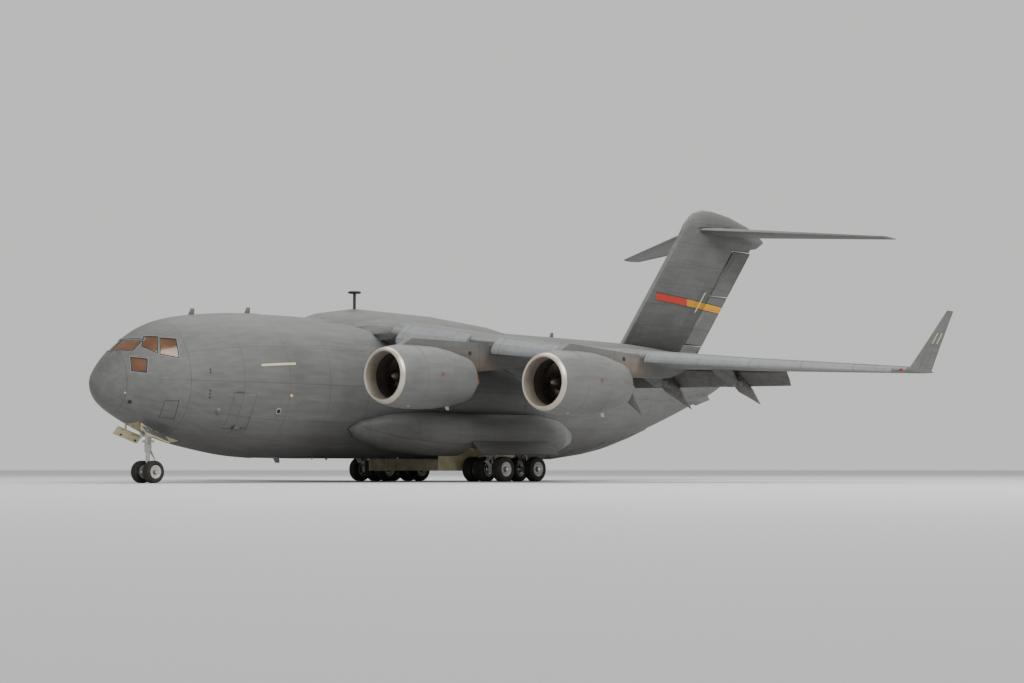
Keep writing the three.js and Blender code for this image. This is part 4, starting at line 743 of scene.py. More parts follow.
bpy.ops.object.select_all(action="DESELECT")
bpy.ops.mesh.primitive_plane_add(size=1)
blade = bpy.context.object
blade.scale = (0.28 * SCALE, 0.028 * SCALE, 1)
blade.location = (-1.37 * SCALE, 0, BLADE_ROOT * SCALE)
bpy.ops.object.transform_apply(location=True, rotation=True, scale=True)
bpy.ops.object.mode_set(mode="EDIT")
bpy.ops.mesh.select_all(action="SELECT")
bpy.ops.transform.rotate(value=math.radians(24), orient_axis="Z", center_override=(-1.37 * SCALE, 0, 0))
for _ in range(BLADE_STEPS):
    rise = (0, 0, BLADE_SPAN * SCALE / BLADE_STEPS)
    bpy.ops.mesh.extrude_region_move(TRANSFORM_OT_translate={"value": rise})
    bpy.ops.transform.rotate(
        value=BLADE_TWIST / BLADE_STEPS, orient_axis="Z", center_override=(-1.37 * SCALE, 0, 0))
    bpy.ops.transform.resize(value=(1.02, 1.02, 1), center_override=(-1.37 * SCALE, 0, 0))
bpy.ops.mesh.select_all(action="SELECT")
bpy.ops.mesh.normals_make_consistent(inside=False)
bpy.ops.object.mode_set(mode="OBJECT")
blades = [
    copied(blade, f"blade_{k}", Matrix.Rotation(2 * math.pi * k / FAN_BLADES, 4, "X"))
    for k in range(FAN_BLADES)
]
bpy.data.objects.remove(blade)
spinner = spun("spinner", SPINNER_PROFILE, (-1, 0, 0), 48)
rotor = joined([spinner, *blades], "rotor")



def plate(name, corners, thick):
    """A flat plate of a full-size thickness between four points, given in order round its edge."""
    bpy.ops.object.select_all(action="DESELECT")
    bpy.ops.mesh.primitive_plane_add(size=1)
    piece = bpy.context.object
    piece.name = name
    for vertex, corner in zip(piece.data.vertices, (corners[0], corners[1], corners[3], corners[2])):
        vertex.co = corner
    wall = piece.modifiers.new("thickness", "SOLIDIFY")
    wall.thickness = thick * SCALE
    wall.offset = 0
    bpy.ops.object.modifier_apply(modifier=wall.name)
    return piece


# Vane on each cowl's inboard shoulder
STRAKE_CLOCK = math.radians(48)
STRAKE = [(-0.75, 1.42), (-2.05, 1.47), (-2.05, 1.86), (-1.75, 1.86)]
fence = plate("fence", [Vector((along, 0, rise)) * SCALE for along, rise in STRAKE], 0.03)

for place_name, engine in ENGINES.items():
    for hand_name, hand in HANDS.items():
        name = f"{place_name}_{hand_name}"
        move = Matrix.Translation(at(engine["lip"], hand * engine["side"], engine["level"]))
        node = f"engine_{name}"
        finish(copied(lip, f"lip_{name}", move), "airframe", lip_metal, "lip_metal")
        shell = finish(copied(cowl, f"cowl_{name}", move), "airframe", cowl_paint, "body_paint", node)
        axis_side, axis_level = hand * engine["side"], engine["level"]
        # Faces that look in towards the engine's axis take the duct's painted shade.
        paint_faces(shell, duct_painted_shade, lambda place, normal: (
            (place[1] - axis_side) * normal.y + (place[2] - axis_level) * normal.z < 0))
        finish(copied(core, f"core_{name}", move), "airframe", burnt, "lip_metal")
        finish(copied(vane_ring, f"vanes_{name}", move), "airframe", titanium, "fan_metal")
        inward = move @ Matrix.Rotation(hand * STRAKE_CLOCK, 4, "X")
        finish(copied(fence, f"fence_{name}", inward), "airframe", cowl_paint, "body_paint")
        finish(copied(rotor, f"rotor_{name}", move), f"fan_{name}", titanium, "fan_metal", f"fan_{name}")
for model in (lip, cowl, core, vane_ring, fence, rotor):
    bpy.data.objects.remove(model)


# Fin, rudders and tailplane
# Composite skins in the same topcoat. A band runs down and back across the fin: red in front,
# yellow behind, with a thin black edge above and below.
BAND = {"station": 41.5, "level": 6.39, "slope": 0.06, "half": 0.21, "edge": 0.045}
BAND_STARTS = 41.2
BAND_CHANGES = 44.23
BAND_RED = "#c8321b"
BAND_YELLOW = "#d8990c"
BAND_BLACK = "#1b1b1c"
FIN_SWEEP = 0.84


def fin_lines(tree, x, y, z):
    swept = total(tree, "ADD", x, total(tree, "MULTIPLY", z, FIN_SWEEP))
    return total(tree, "MAXIMUM", seams(tree, z, 0.66), seams(tree, swept, 0.8))


def band(tree, x, y, z, colour):
    """The tail band: red in front and yellow behind, between thin black edges."""
    start = at(BAND["station"], 0, BAND["level"])
    slope = total(tree, "MULTIPLY", total(tree, "SUBTRACT", x, start.x), BAND["slope"])
    rise = total(tree, "SUBTRACT", z, total(tree, "ADD", slope, start.z))
    away = add(tree, "Math", {0: rise}, operation="ABSOLUTE").outputs[0]
    behind = add(tree, "Math", {0: x, 1: at(BAND_STARTS, 0, 0).x}, operation="LESS_THAN").outputs[0]
    rear = add(tree, "Math", {0: x, 1: at(BAND_CHANGES, 0, 0).x}, operation="LESS_THAN").outputs[0]
    hue = add(tree, "Mix", {0: rear, 6: linear(BAND_RED), 7: linear(BAND_YELLOW)}, data_type="RGBA")
    for half, tone in ((BAND["half"] + BAND["edge"], linear(BAND_BLACK)), (BAND["half"], hue.outputs[2])):
        inside = add(tree, "Math", {0: away, 1: half * SCALE}, operation="LESS_THAN").outputs[0]
        share = total(tree, "MULTIPLY", inside, behind, 0.94)
        colour = add(tree, "Mix", {0: share, 6: colour, 7: tone}, data_type="RGBA").outputs[2]
    return colour


def dressed(node, body, material, slot="body_paint"):
    """A merged copy of a solid with its finish, which stands for the solid."""
    return finish(copy_of(node, node + "_skin"), body, material, slot, node)


fin_paint = topcoat("grey_fin_topcoat", fin_lines, over=band)
fin_skin = dressed("fin", "airframe", fin_paint)
dressed("rudder_lower", "rudder_lower", fin_paint)
dressed("rudder_upper", "rudder_upper", fin_paint)
dressed("stabiliser", "airframe", wing_paint)
for hand_name in HANDS:
    dressed(f"elevator_{hand_name}", f"elevator_{hand_name}", wing_paint)

# End plates of the rudders: thin webs under the skin line that close the slots at their ends
RUDDER_FRONT = (44.305, 0.868)
RUDDER_REAR = (46.195, 0.877)
RUDDER_ENDS = {
    "rudder_lower": [(3.63, 3.72), (6.70, 6.84)],
    "rudder_upper": [(9.73, 9.87)],
}


def rudder_place(edge, level):
    """A point of the rudders' front or rear line, given as its station at the foot and its slope."""
    return at(edge[0] + edge[1] * (level - 3.7), 0, level)


for body, ends in RUDDER_ENDS.items():
    webs = [plate("web", [rudder_place(RUDDER_FRONT, low), rudder_place(RUDDER_REAR, low),
                          rudder_place(RUDDER_REAR, high), rudder_place(RUDDER_FRONT, high)], 0.03)
            for low, high in ends]
    finish(joined(webs, body + "_end_plates"), body, fin_paint, "body_paint")


# Main gear pods
# Composite fairings round the main gear, screwed to the fuselage. Their rear cones are paler, and
# the wheel bays inside are in cream primer with frames across the walls.
primer, tree, shader = blank_material("cream_primer")
place = add(tree, "TexCoord").outputs["Object"]
grime = add(tree, "TexNoise", {"Vector": place, "Scale": 2.6, "Detail": 7.0, "Roughness": 0.65})
tone = add(tree, "ValToRGB", {"Fac": grime.outputs["Fac"]})
tone.color_ramp.elements[0].position = 0.3
tone.color_ramp.elements[0].color = linear("#b0a47e")
tone.color_ramp.elements[1].position = 0.62
tone.color_ramp.elements[1].color = linear("#ddd3b0")
tree.links.new(tone.outputs["Color"], shader.inputs["Base Color"])
shader.inputs["Roughness"].default_value = 0.48
BAY = {"stations": (19.6, 25.7), "sides": (2.44, 4.57)}
NOSE_BAY = {"stations": (2.14, 4.46), "half": 0.63}
POD_CONE = 27.75

for hand_name in HANDS:
    pod = dressed(f"pod_{hand_name}", "airframe", hull_paint)
    paint_faces(pod, cowl_paint, lambda place, normal: place[0] > POD_CONE)
    paint_faces(pod, primer, lambda place, normal: (
        BAY["stations"][0] < place[0] < BAY["stations"][1]
        and BAY["sides"][0] < abs(place[1]) < BAY["sides"][1]
        and place[2] < -2.1
        and (abs(normal.x) > 0.99 or abs(normal.y) > 0.99 or normal.z < -0.99)
    ))
paint_faces(bpy.data.objects["nose_section_skin"], primer, lambda place, normal: (
    NOSE_BAY["stations"][0] < place[0] < NOSE_BAY["stations"][1] and abs(place[1]) < NOSE_BAY["half"]
    and (abs(normal.x) > 0.99 or abs(normal.y) > 0.99 or normal.z < -0.99)
))


def block(name, centre, size, bevel=0.02):
    """A box with bevelled edges from full-size metres: station, side, level and sizes along them."""
    bpy.ops.object.select_all(action="DESELECT")
    bpy.ops.mesh.primitive_cube_add(size=1, location=at(*centre))
    piece = bpy.context.object
    piece.name = name
    piece.scale = Vector(size) * SCALE
    bpy.ops.object.transform_apply(location=True, rotation=True, scale=True)
    bpy.ops.object.mode_set(mode="EDIT")
    bpy.ops.mesh.select_all(action="SELECT")
    bpy.ops.mesh.bevel(offset=bevel * SCALE, segments=2, affect="EDGES")
    bpy.ops.object.mode_set(mode="OBJECT")
    return piece


def rod(name, start, end, radius, segments=24):
    """A round rod between two places given as station, side and level."""
    start, end = at(*start), at(*end)
    line = end - start
    bpy.ops.object.select_all(action="DESELECT")
    bpy.ops.mesh.primitive_cylinder_add(vertices=segments, radius=radius * SCALE, depth=line.length)
    piece = bpy.context.object
    piece.name = name
    piece.location = (start + end) / 2
    piece.rotation_euler = line.to_track_quat("Z", "Y").to_euler()
    bpy.ops.object.transform_apply(location=True, rotation=True, scale=True)
    edges = piece.modifiers.new("edges", "BEVEL")
    edges.width = radius * SCALE * 0.08
    edges.segments = 1
    edges.angle_limit = 0.8
    bpy.ops.object.modifier_apply(modifier=edges.name)
    return piece


MIRROR = Matrix.Scale(-1, 4, (0, 1, 0))


def both_hands(pieces, name, body, material, slot, *stands_for):
    """Joins port pieces into one, and makes its mirrored copy. {} in a name takes left or right."""
    port = joined(pieces, name.format("left"))
    starboard = copied(port, name.format("right"), MIRROR)
    for piece, hand_name in ((port, "left"), (starboard, "right")):
        nodes = [node.format(hand_name) for node in stands_for]
        finish(piece, body.format(hand_name), material, slot, *nodes)
    return port, starboard


# Frames on the roof and the walls of the wheel bays
frames = []
for k in range(9):
    station = 19.95 + 0.67 * k
    frames.append(block(f"roof_frame_{k}", (station, 3.5, -2.2), (0.05, 2.1, 0.1), 0.008))
    frames.append(block(f"wall_frame_{k}", (station, 4.51, -2.6), (0.05, 0.1, 0.8), 0.008))
frames.append(rod("bay_pipe_a", (19.7, 2.75, -2.24), (25.6, 2.75, -2.24), 0.03, 12))
frames.append(rod("bay_pipe_b", (19.7, 4.4, -2.3), (25.6, 4.4, -2.3), 0.025, 12))
both_hands(frames, "bay_frames_{}", "airframe", primer, "primer")


# Gear paint and bare piston steel
# Gloss white enamel on forged legs, greyed by dust and oil, and hard chrome on the pistons.
gear_white, tree, shader = blank_material("white_gear_enamel")
place = add(tree, "TexCoord").outputs["Object"]
oil = add(tree, "TexNoise", {"Vector": place, "Scale": 6.0, "Detail": 6.0, "Roughness": 0.7})
tone = add(tree, "ValToRGB", {"Fac": oil.outputs["Fac"]})
tone.color_ramp.elements[0].position = 0.28
tone.color_ramp.elements[0].color = linear("#8f9089")
tone.color_ramp.elements[1].position = 0.6
tone.color_ramp.elements[1].color = linear("#cfcfc8")
tree.links.new(tone.outputs["Color"], shader.inputs["Base Color"])
shader.inputs["Roughness"].default_value = 0.35

chrome, tree, shader = blank_material("hard_chrome")
place = add(tree, "TexCoord").outputs["Object"]
smear = add(tree, "TexNoise", {"Vector": place, "Scale": 12.0, "Detail": 3.0})
tone = add(tree, "ValToRGB", {"Fac": smear.outputs["Fac"]})
tone.color_ramp.elements[0].color = linear("#a4a6a8")
tone.color_ramp.elements[1].color = linear("#c6c8ca")
tree.links.new(tone.outputs["Color"], shader.inputs["Base Color"])
shader.inputs["Metallic"].default_value = 1.0
shader.inputs["Roughness"].default_value = 0.18

# Main struts
# Forged steel legs from the bay's roof to the axle blocks, each with a chromed piston, a folding
# link in front of it, a brace and steel pipes clipped along the leg.
MAIN_STATIONS = {"front": 21.65, "rear": 24.15}
AXLE_LEVEL = 0.635 - AXIS_HEIGHT
STRUT_HEAD = (4.13, -2.211)
STRUT_FOOT = (4.54, AXLE_LEVEL)
POST_SHARE = 0.575


def on_strut(share):
    """Side and level of a point along a main strut, from its head to its foot."""
    return [head + (foot - head) * share for head, foot in zip(STRUT_HEAD, STRUT_FOOT)]


for place_name, station in MAIN_STATIONS.items():
    head, foot = on_strut(0), on_strut(1)
    end = on_strut(POST_SHARE)
    gland = on_strut(POST_SHARE + 0.06)
    knee = (station - 0.46, on_strut(0.72)[0], on_strut(0.72)[1])
    leg = [
        rod("post", (station, *head), (station, *end), 0.15, 32),
        rod("gland", (station, *on_strut(POST_SHARE - 0.02)), (station, *gland), 0.172, 32),
        rod("collar", (station, *on_strut(0.1)), (station, *on_strut(0.16)), 0.175, 32),
        block("plate", (station, 4.13, -2.1956), (0.6, 0.44, 0.09)),
        rod("axle_block", (station, 4.27, AXLE_LEVEL), (station, 4.81, AXLE_LEVEL), 0.19, 32),
        rod("brace", (station - 0.62, 4.13, -2.211), (station, 4.3, -3.05), 0.05, 16),
        rod("brace_sleeve", (station - 0.5, 4.163, -2.374), (station - 0.24, 4.234, -2.726), 0.072, 16),
        block("brace_pad", (station - 0.62, 4.13, -2.1956), (0.2, 0.18, 0.09)),
        rod("link_pin_top", (station - 0.2, 4.2, gland[1]), (station - 0.2, 4.6, gland[1]), 0.035, 16),
        rod("link_pin_low", (station - 0.22, 4.34, -3.86), (station - 0.22, 4.74, -3.86), 0.035, 16),
        rod("knee_pin", (knee[0], 4.3, knee[2] - 0.1), (knee[0], 4.6, knee[2] - 0.1), 0.035, 16),
        block("top_lug", (station - 0.15, gland[0], gland[1]), (0.2, 0.16, 0.12)),
        block("low_lug", (station - 0.18, 4.54, -3.86), (0.2, 0.16, 0.12)),
    ]
    for across in (-0.11, 0.11):
        joint_a = (station - 0.2, gland[0] + across, gland[1])
        joint_b = (knee[0], knee[1] + across * 0.4, knee[2] - 0.1)
        joint_c = (station - 0.22, 4.54 + across, -3.86)
        leg.append(rod("link_upper", joint_a, joint_b, 0.034, 12))
        leg.append(rod("link_lower", joint_c, joint_b, 0.034, 12))
    for across, back in ((0.17, 0.04), (-0.04, 0.175), (0.08, 0.16)):
        leg.append(rod(
            "pipe", (station + back, head[0] + across, head[1] - 0.05),
            (station + back, end[0] + across, end[1]), 0.017, 10))
        leg.append(rod(
            "pipe_low", (station + back, end[0] + across, end[1]),
            (station + back * 0.7, foot[0] + across, foot[1] + 0.16), 0.014, 10))
    names = (f"strut_{place_name}_{{}}", "airframe", gear_white, "gear_white", f"main_strut_{place_name}_{{}}")
    both_hands(leg, *names)
    piston = [rod("piston", (station, *gland), (station, *foot), 0.11, 32)]
    both_hands(piston, f"piston_{place_name}_{{}}", "airframe", chrome, "gear_white")


# Wheels
# Ribbed aircraft tyres on two-part forged rims that are painted white, with a ring of tie bolts,
# a brown hub cover and brake packs inside. One wheel is spun and copied to every axle.
tread_rubber, tree, shader = blank_material("tyre_rubber")
place = add(tree, "TexCoord").outputs["Object"]
scuff = add(tree, "TexNoise", {"Vector": place, "Scale": 7.0, "Detail": 7.0, "Roughness": 0.7})
tone = add(tree, "ValToRGB", {"Fac": scuff.outputs["Fac"]})
tone.color_ramp.elements[0].position = 0.35
tone.color_ramp.elements[0].color = linear("#191919")
tone.color_ramp.elements[1].position = 0.7
tone.color_ramp.elements[1].color = linear("#35332f")
tree.links.new(tone.outputs["Color"], shader.inputs["Base Color"])
shader.inputs["Roughness"].default_value = 0.82
grain = add(tree, "TexNoise", {"Vector": place, "Scale": 90.0, "Detail": 2.0})
bump = add(tree, "Bump", {"Height": grain.outputs["Fac"], "Strength": 0.25, "Distance": 0.002})
tree.links.new(bump.outputs[0], shader.inputs["Normal"])

hub_brown, tree, shader = blank_material("brown_hub_cover")
place = add(tree, "TexCoord").outputs["Object"]
fade = add(tree, "TexNoise", {"Vector": place, "Scale": 9.0, "Detail": 5.0})
tone = add(tree, "ValToRGB", {"Fac": fade.outputs["Fac"]})
tone.color_ramp.elements[0].color = linear("#5d4a42")
tone.color_ramp.elements[1].color = linear("#8d7468")
tree.links.new(tone.outputs["Color"], shader.inputs["Base Color"])
shader.inputs["Roughness"].default_value = 0.5

TREAD = [(0.0, 1.0), (0.05, 1.0), (0.055, 0.98), (0.068, 0.98), (0.073, 1.0)]
TREAD_2 = [(0.128, 0.998), (0.133, 0.978), (0.146, 0.978), (0.151, 0.996)]
SHOULDER = [(0.19, 0.985), (0.228, 0.95), (0.254, 0.89), (0.2665, 0.80), (0.264, 0.70), (0.25, 0.625)]
BEAD = [(0.226, 0.585), (0.205, 0.56)]
RIM = [(0.2, 0.572), (0.236, 0.585), (0.246, 0.572), (0.24, 0.548), (0.222, 0.535), (0.205, 0.5)]
RIM_DISH = [(0.165, 0.44), (0.14, 0.33), (0.142, 0.24), (0.16, 0.21), (0.16, 0.0)]
HUB = [(0.15, 0.235), (0.185, 0.225), (0.215, 0.19), (0.22, 0.12), (0.205, 0.0)]
WIDTH = 0.533
BOLTS = 10


def wheel_parts(radius, width):
    """Tyre, rim and hub of a wheel of this size about the Y axis, spun from one table of shares."""
    def sized(rows):
        return [(out * width / WIDTH, share * radius) for out, share in rows]

    def mirrored(rows):
        return [(-out, share) for out, share in reversed(rows) if out > 0]

    half = sized(TREAD + TREAD_2 + SHOULDER + BEAD)
    tyre = spun("tyre", mirrored(half) + half, (0, 1, 0), 72)
    rim_half = sized(RIM + RIM_DISH)
    rim_rows = [(-rim_half[-1][0], 0.0)] + mirrored(rim_half)[1:] + rim_half
    rim = spun("rim", rim_rows, (0, 1, 0), 56)
    rows = sized(HUB)
    hub = spun("hub", [(-rows[-1][0], 0.0)] + mirrored(rows)[1:] + rows, (0, 1, 0), 40)
    bolts = [hub]
    for k in range(BOLTS):
        turn = Matrix.Rotation(2 * math.pi * k / BOLTS, 4, "Y")
        bpy.ops.object.select_all(action="DESELECT")
        bpy.ops.mesh.primitive_cylinder_add(
            vertices=12, radius=0.028 * radius * SCALE / 0.635, depth=0.345 * width / WIDTH * SCALE,
            rotation=(math.pi / 2, 0, 0), location=(0, 0, 0.385 * radius * SCALE))
        bpy.ops.object.transform_apply(location=True, rotation=True, scale=True)
        bolt = bpy.context.object
        bolt.data.transform(turn)
        bolts.append(bolt)
    return tyre, rim, joined(bolts, "hub")


def wheel_set(name, body, node, station, sides, radius, width, axle):
    """Wheels on an axle, with its bars and collars, riding on the body that turns."""
    tyre, rim, hub = wheel_parts(radius, width)
    level = radius - AXIS_HEIGHT
    for kind, model, material, slot in (
            ("tyres", tyre, tread_rubber, "tyre"), ("rims", rim, gear_white, "gear_white"),
            ("hubs", hub, hub_brown, "gear_white")):
        made = [copied(model, f"{kind}_{k}", Matrix.Translation(at(station, side, level)))
                for k, side in enumerate(sides)]
        whole = joined(made, f"{kind}_{name}")
        finish(whole, body, material, slot, *([node] if kind == "tyres" else []))
        bpy.data.objects.remove(model)
    bars = [rod("bar", (station, a, level), (station, b, level), r, 32) for a, b, r in axle]
    finish(joined(bars, f"axle_{name}"), body, chrome, "gear_white")


MAIN_WHEELS = (5.13, 3.95, 3.12)
BLOCK_FACES = (4.27, 4.81)
for place_name, station in MAIN_STATIONS.items():
    for hand_name, hand in HANDS.items():
        name = f"main_wheels_{place_name}_{hand_name}"
        bars = [(2.8, 5.42, 0.094), (4.21, 4.2694, 0.15), (4.8106, 4.87, 0.15), (4.0, 4.22, 0.24)]
        bars = [(hand * a, hand * b, radius) for a, b, radius in bars]
        wheel_set(name, name, name, station, [hand * side for side in MAIN_WHEELS], 0.635, 0.533, bars)


# Nose gear
# A white forged leg with a fork that steers, two wheels, a drag brace into the bay, two steering
# jacks at the pivot, a folding link, landing lamps and a tow fitting in front.
NOSE_STATION = 3.2
NOSE_AXLE = 0.508 - AXIS_HEIGHT
NOSE_PIVOT = -3.05
bars = [(-0.62, 0.62, 0.069), (-0.22, -0.1506, 0.12), (0.1506, 0.22, 0.12)]
wheel_set("nose_wheels", "nose_wheels", "nose_wheels", NOSE_STATION, (-0.41, 0.41), 0.508, 0.406, bars)
leg = [
    rod("post", (NOSE_STATION, 0, NOSE_PIVOT), (NOSE_STATION, 0, -1.02), 0.135, 32),
    rod("gland", (NOSE_STATION, 0, NOSE_PIVOT + 0.002), (NOSE_STATION, 0, NOSE_PIVOT + 0.22), 0.165, 32),
    rod("shoulder", (NOSE_STATION, 0, -2.3), (NOSE_STATION, 0, -2.12), 0.165, 32),
    block("plate", (NOSE_STATION, 0, -1.0306), (0.52, 0.52, 0.06)),
    rod("brace", (NOSE_STATION + 0.9, 0, -1.06), (NOSE_STATION, 0, -2.75), 0.055, 16),
    block("brace_pad", (NOSE_STATION + 0.9, 0, -1.0356), (0.2, 0.18, 0.07)),
    block("junction_box", (NOSE_STATION - 0.16, 0.0, -1.9), (0.12, 0.22, 0.3)),
]
for hand in HANDS.values():
    leg.append(rod("side_brace", (NOSE_STATION, hand * 0.1, -2.2), (NOSE_STATION, hand * 0.58, -1.3), 0.045, 16))
    leg.append(rod("jack", (NOSE_STATION - 0.16, hand * 0.17, -2.72), (NOSE_STATION + 0.2, hand * 0.19, -2.72), 0.05, 16))
    leg.append(rod("pipe", (NOSE_STATION + 0.1, hand * 0.11, -1.1), (NOSE_STATION + 0.1, hand * 0.11, -2.8), 0.016, 10))
    leg.append(rod("lamp_arm", (NOSE_STATION, hand * 0.1, -2.42), (NOSE_STATION - 0.06, hand * 0.3, -2.42), 0.028, 10))
    leg.append(rod("lamp_body", (NOSE_STATION - 0.17, hand * 0.3, -2.42), (NOSE_STATION + 0.02, hand * 0.3, -2.42), 0.095, 24))
finish(joined(leg, "nose_leg_forging"), "airframe", gear_white, "gear_white", "nose_leg")
fork = [
    rod("block", (NOSE_STATION, -0.15, NOSE_AXLE), (NOSE_STATION, 0.15, NOSE_AXLE), 0.15, 32),
    block("tow_fitting", (NOSE_STATION - 0.2, 0, NOSE_AXLE), (0.26, 0.14, 0.1)),
    block("link_lug", (NOSE_STATION + 0.16, 0, NOSE_AXLE + 0.1), (0.14, 0.12, 0.12)),
    rod("link_lower", (NOSE_STATION + 0.2, 0.06, NOSE_AXLE + 0.1), (NOSE_STATION + 0.42, 0, -3.55), 0.026, 12),
    rod("link_lower", (NOSE_STATION + 0.2, -0.06, NOSE_AXLE + 0.1), (NOSE_STATION + 0.42, 0, -3.55), 0.026, 12),
    rod("link_upper", (NOSE_STATION + 0.14, 0.06, -3.13), (NOSE_STATION + 0.42, 0, -3.55), 0.026, 12),
    rod("link_upper", (NOSE_STATION + 0.14, -0.06, -3.13), (NOSE_STATION + 0.42, 0, -3.55), 0.026, 12),
    rod("collar", (NOSE_STATION, 0, NOSE_PIVOT - 0.16), (NOSE_STATION, 0, NOSE_PIVOT - 0.002), 0.16, 32),
]
finish(joined(fork, "nose_fork_forging"), "nose_fork", gear_white, "gear_white", "nose_fork")
piston = rod("nose_piston", (NOSE_STATION, 0, NOSE_PIVOT - 0.1), (NOSE_STATION, 0, NOSE_AXLE), 0.1, 32)
finish(piston, "nose_fork", chrome, "gear_white")

lamp_glass, tree, shader = blank_material("clear_lamp_glass")
place = add(tree, "TexCoord").outputs["Object"]
facet = add(tree, "TexNoise", {"Vector": place, "Scale": 40.0, "Detail": 1.0})
tone = add(tree, "ValToRGB", {"Fac": facet.outputs["Fac"]})
tone.color_ramp.elements[0].color = linear("#9fa4a6")
tone.color_ramp.elements[1].color = linear("#dfe2e2")
tree.links.new(tone.outputs["Color"], shader.inputs["Base Color"])
shader.inputs["Roughness"].default_value = 0.08
shader.inputs["Coat Weight"].default_value = 0.8
lamps = [
    rod("lens", (NOSE_STATION - 0.185, hand * 0.3, -2.42), (NOSE_STATION - 0.165, hand * 0.3, -2.42), 0.082, 24)
    for hand in HANDS.values()
]
finish(joined(lamps, "nose_leg_lamps"), "airframe", lamp_glass, "glazing")


# Gear doors
# Sandwich panels in cream primer inside, with bevelled paler edges and stiffening frames. The
# outer skins are grey. The nose doors hang on two arms each; their two round holes are black discs of painted shade,
# set on further down.
MAIN_DOOR = {"stations": (19.7, 25.6), "levels": (-4.05, -2.65), "inside": 2.4506, "thick": 0.055}
middle = (sum(MAIN_DOOR["stations"]) / 2, MAIN_DOOR["inside"] + MAIN_DOOR["thick"] / 2, sum(MAIN_DOOR["levels"]) / 2)
door = block("panel", middle, (5.9, 0.055, 1.4), 0.018)
trim = []
for level in (-3.99, -2.71):
    trim.append(block("edge", (middle[0], middle[1], level), (5.78, 0.085, 0.07), 0.02))
for station in (19.76, 25.54):
    trim.append(block("post", (station, middle[1], middle[2]), (0.07, 0.08, 1.28), 0.02))
both_hands([door, *trim], "inner_door_{}", "airframe", primer, "primer", "main_door_inner_{}")
for hand_name in HANDS:
    dressed(f"main_door_outer_{hand_name}", "airframe", hull_paint)
    door = dressed(f"nose_door_{hand_name}", "airframe", primer, "primer")
    paint_faces(door, hull_paint, lambda place, normal: (
        abs(place[1]) > 0.8 and normal.z > 0.4 and normal.y * place[1] > 0.2))


# Small fittings on the skin
# Formation light strips, lamps, scoops, hatches, probes and aerials, each seated on the skin.
strip_cream, tree, shader = blank_material("cream_light_strip")
place = add(tree, "TexCoord").outputs["Object"]
age = add(tree, "TexNoise", {"Vector": place, "Scale": 6.0, "Detail": 4.0})
tone = add(tree, "ValToRGB", {"Fac": age.outputs["Fac"]})
tone.color_ramp.elements[0].color = linear("#b9b087")
tone.color_ramp.elements[1].color = linear("#d8d0a6")
tree.links.new(tone.outputs["Color"], shader.inputs["Base Color"])
shader.inputs["Roughness"].default_value = 0.4

black_paint, tree, shader = blank_material("matt_black_paint")
place = add(tree, "TexCoord").outputs["Object"]
dust = add(tree, "TexNoise", {"Vector": place, "Scale": 10.0, "Detail": 4.0})
tone = add(tree, "ValToRGB", {"Fac": dust.outputs["Fac"]})
tone.color_ramp.elements[0].color = linear("#161617")
tone.color_ramp.elements[1].color = linear("#2a2a2b")
tree.links.new(tone.outputs["Color"], shader.inputs["Base Color"])
shader.inputs["Roughness"].default_value = 0.6


def bar_patch(start, end, half):
    """The four corners of a strip between two places, a half width up and down."""
    return [(*start[:2], start[2] + half), (*end[:2], end[2] + half),
            (*end[:2], end[2] - half), (*start[:2], start[2] - half)]


def stud(name, hull, place, radius, height, share=1.0, segments=28):
    """A round stud seated on a surface nearest to a place, its top a share of its foot's width."""
    surface = BVHTree.FromObject(hull, bpy.context.evaluated_depsgraph_get())
    spot, normal, _, _ = surface.find_nearest(at(*place))
    bpy.ops.object.select_all(action="DESELECT")
    bpy.ops.mesh.primitive_cone_add(
        vertices=segments, radius1=radius * SCALE, radius2=radius * SCALE * share, depth=height * SCALE)
    piece = bpy.context.object
    piece.name = name
    piece.location = spot + normal * height * SCALE * 0.38
    piece.rotation_euler = normal.to_track_quat("Z", "Y").to_euler()
    bpy.ops.object.transform_apply(location=True, rotation=True, scale=True)
    return piece


def vane_blade(name, station, side, level, chord, height, thick=0.05, down=False):
    """A swept blade aerial standing on the skin."""
    piece = block(name, (station, side, level), (chord, thick, height), 0.01)
    top = -1 if down else 1
    middle = at(station, side, level)
    for vertex in piece.data.vertices:
        share = (vertex.co.z - middle.z) * top / (height * SCALE) + 0.5
        vertex.co.x = middle.x + (vertex.co.x - middle.x) * (1 - 0.4 * share) - 0.3 * chord * SCALE * share
    return piece


STRIPS = [
    ("nose", "nose", (7.14, 3.21, 0.78), (9.13, 3.3, 0.92), 0.055),
    ("tail", "tail", (32.24, 3.34, 0.76), (34.15, 3.31, 0.70), 0.055),
]
for name, hull_name, start, end, half in STRIPS:
    for hand_name, hand in HANDS.items():
        piece = patch(f"strip_{name}_{hand_name}", bar_patch(start, end, half), hulls[hull_name], 0.005, 0.012, hand)
        finish(piece, "airframe", strip_cream, "body_paint")
for hand_name, hand in HANDS.items():
    corners = [(46.24, 0.4, 6.97), (46.34, 0.4, 6.97), (45.2, 0.4, 5.68), (45.1, 0.4, 5.68)]
    piece = patch(f"strip_fin_{hand_name}", corners, fin_skin, 0.004, 0.01, hand)
    finish(piece, "airframe", strip_cream, "body_paint")

HATCHES = {
    "avionics": ("nose", [(2.65, 1.84, -0.94), (3.24, 2.13, -0.92), (3.35, 1.66, -1.74), (2.73, 1.34, -1.68)]),
    "rear_exit": ("middle", [
        (25.46, 3.38, -0.35), (27.08, 3.43, -0.35), (27.08, 3.22, -1.3), (25.46, 3.22, -1.3)]),
}
for name, (hull_name, corners) in HATCHES.items():
    for hand_name, hand in HANDS.items():
        piece = patch(f"gap_{name}_{hand_name}", corners, hulls[hull_name], 0.0015, 0.006, hand, 0.022)
        finish(piece, "airframe", rubber, "body_paint")

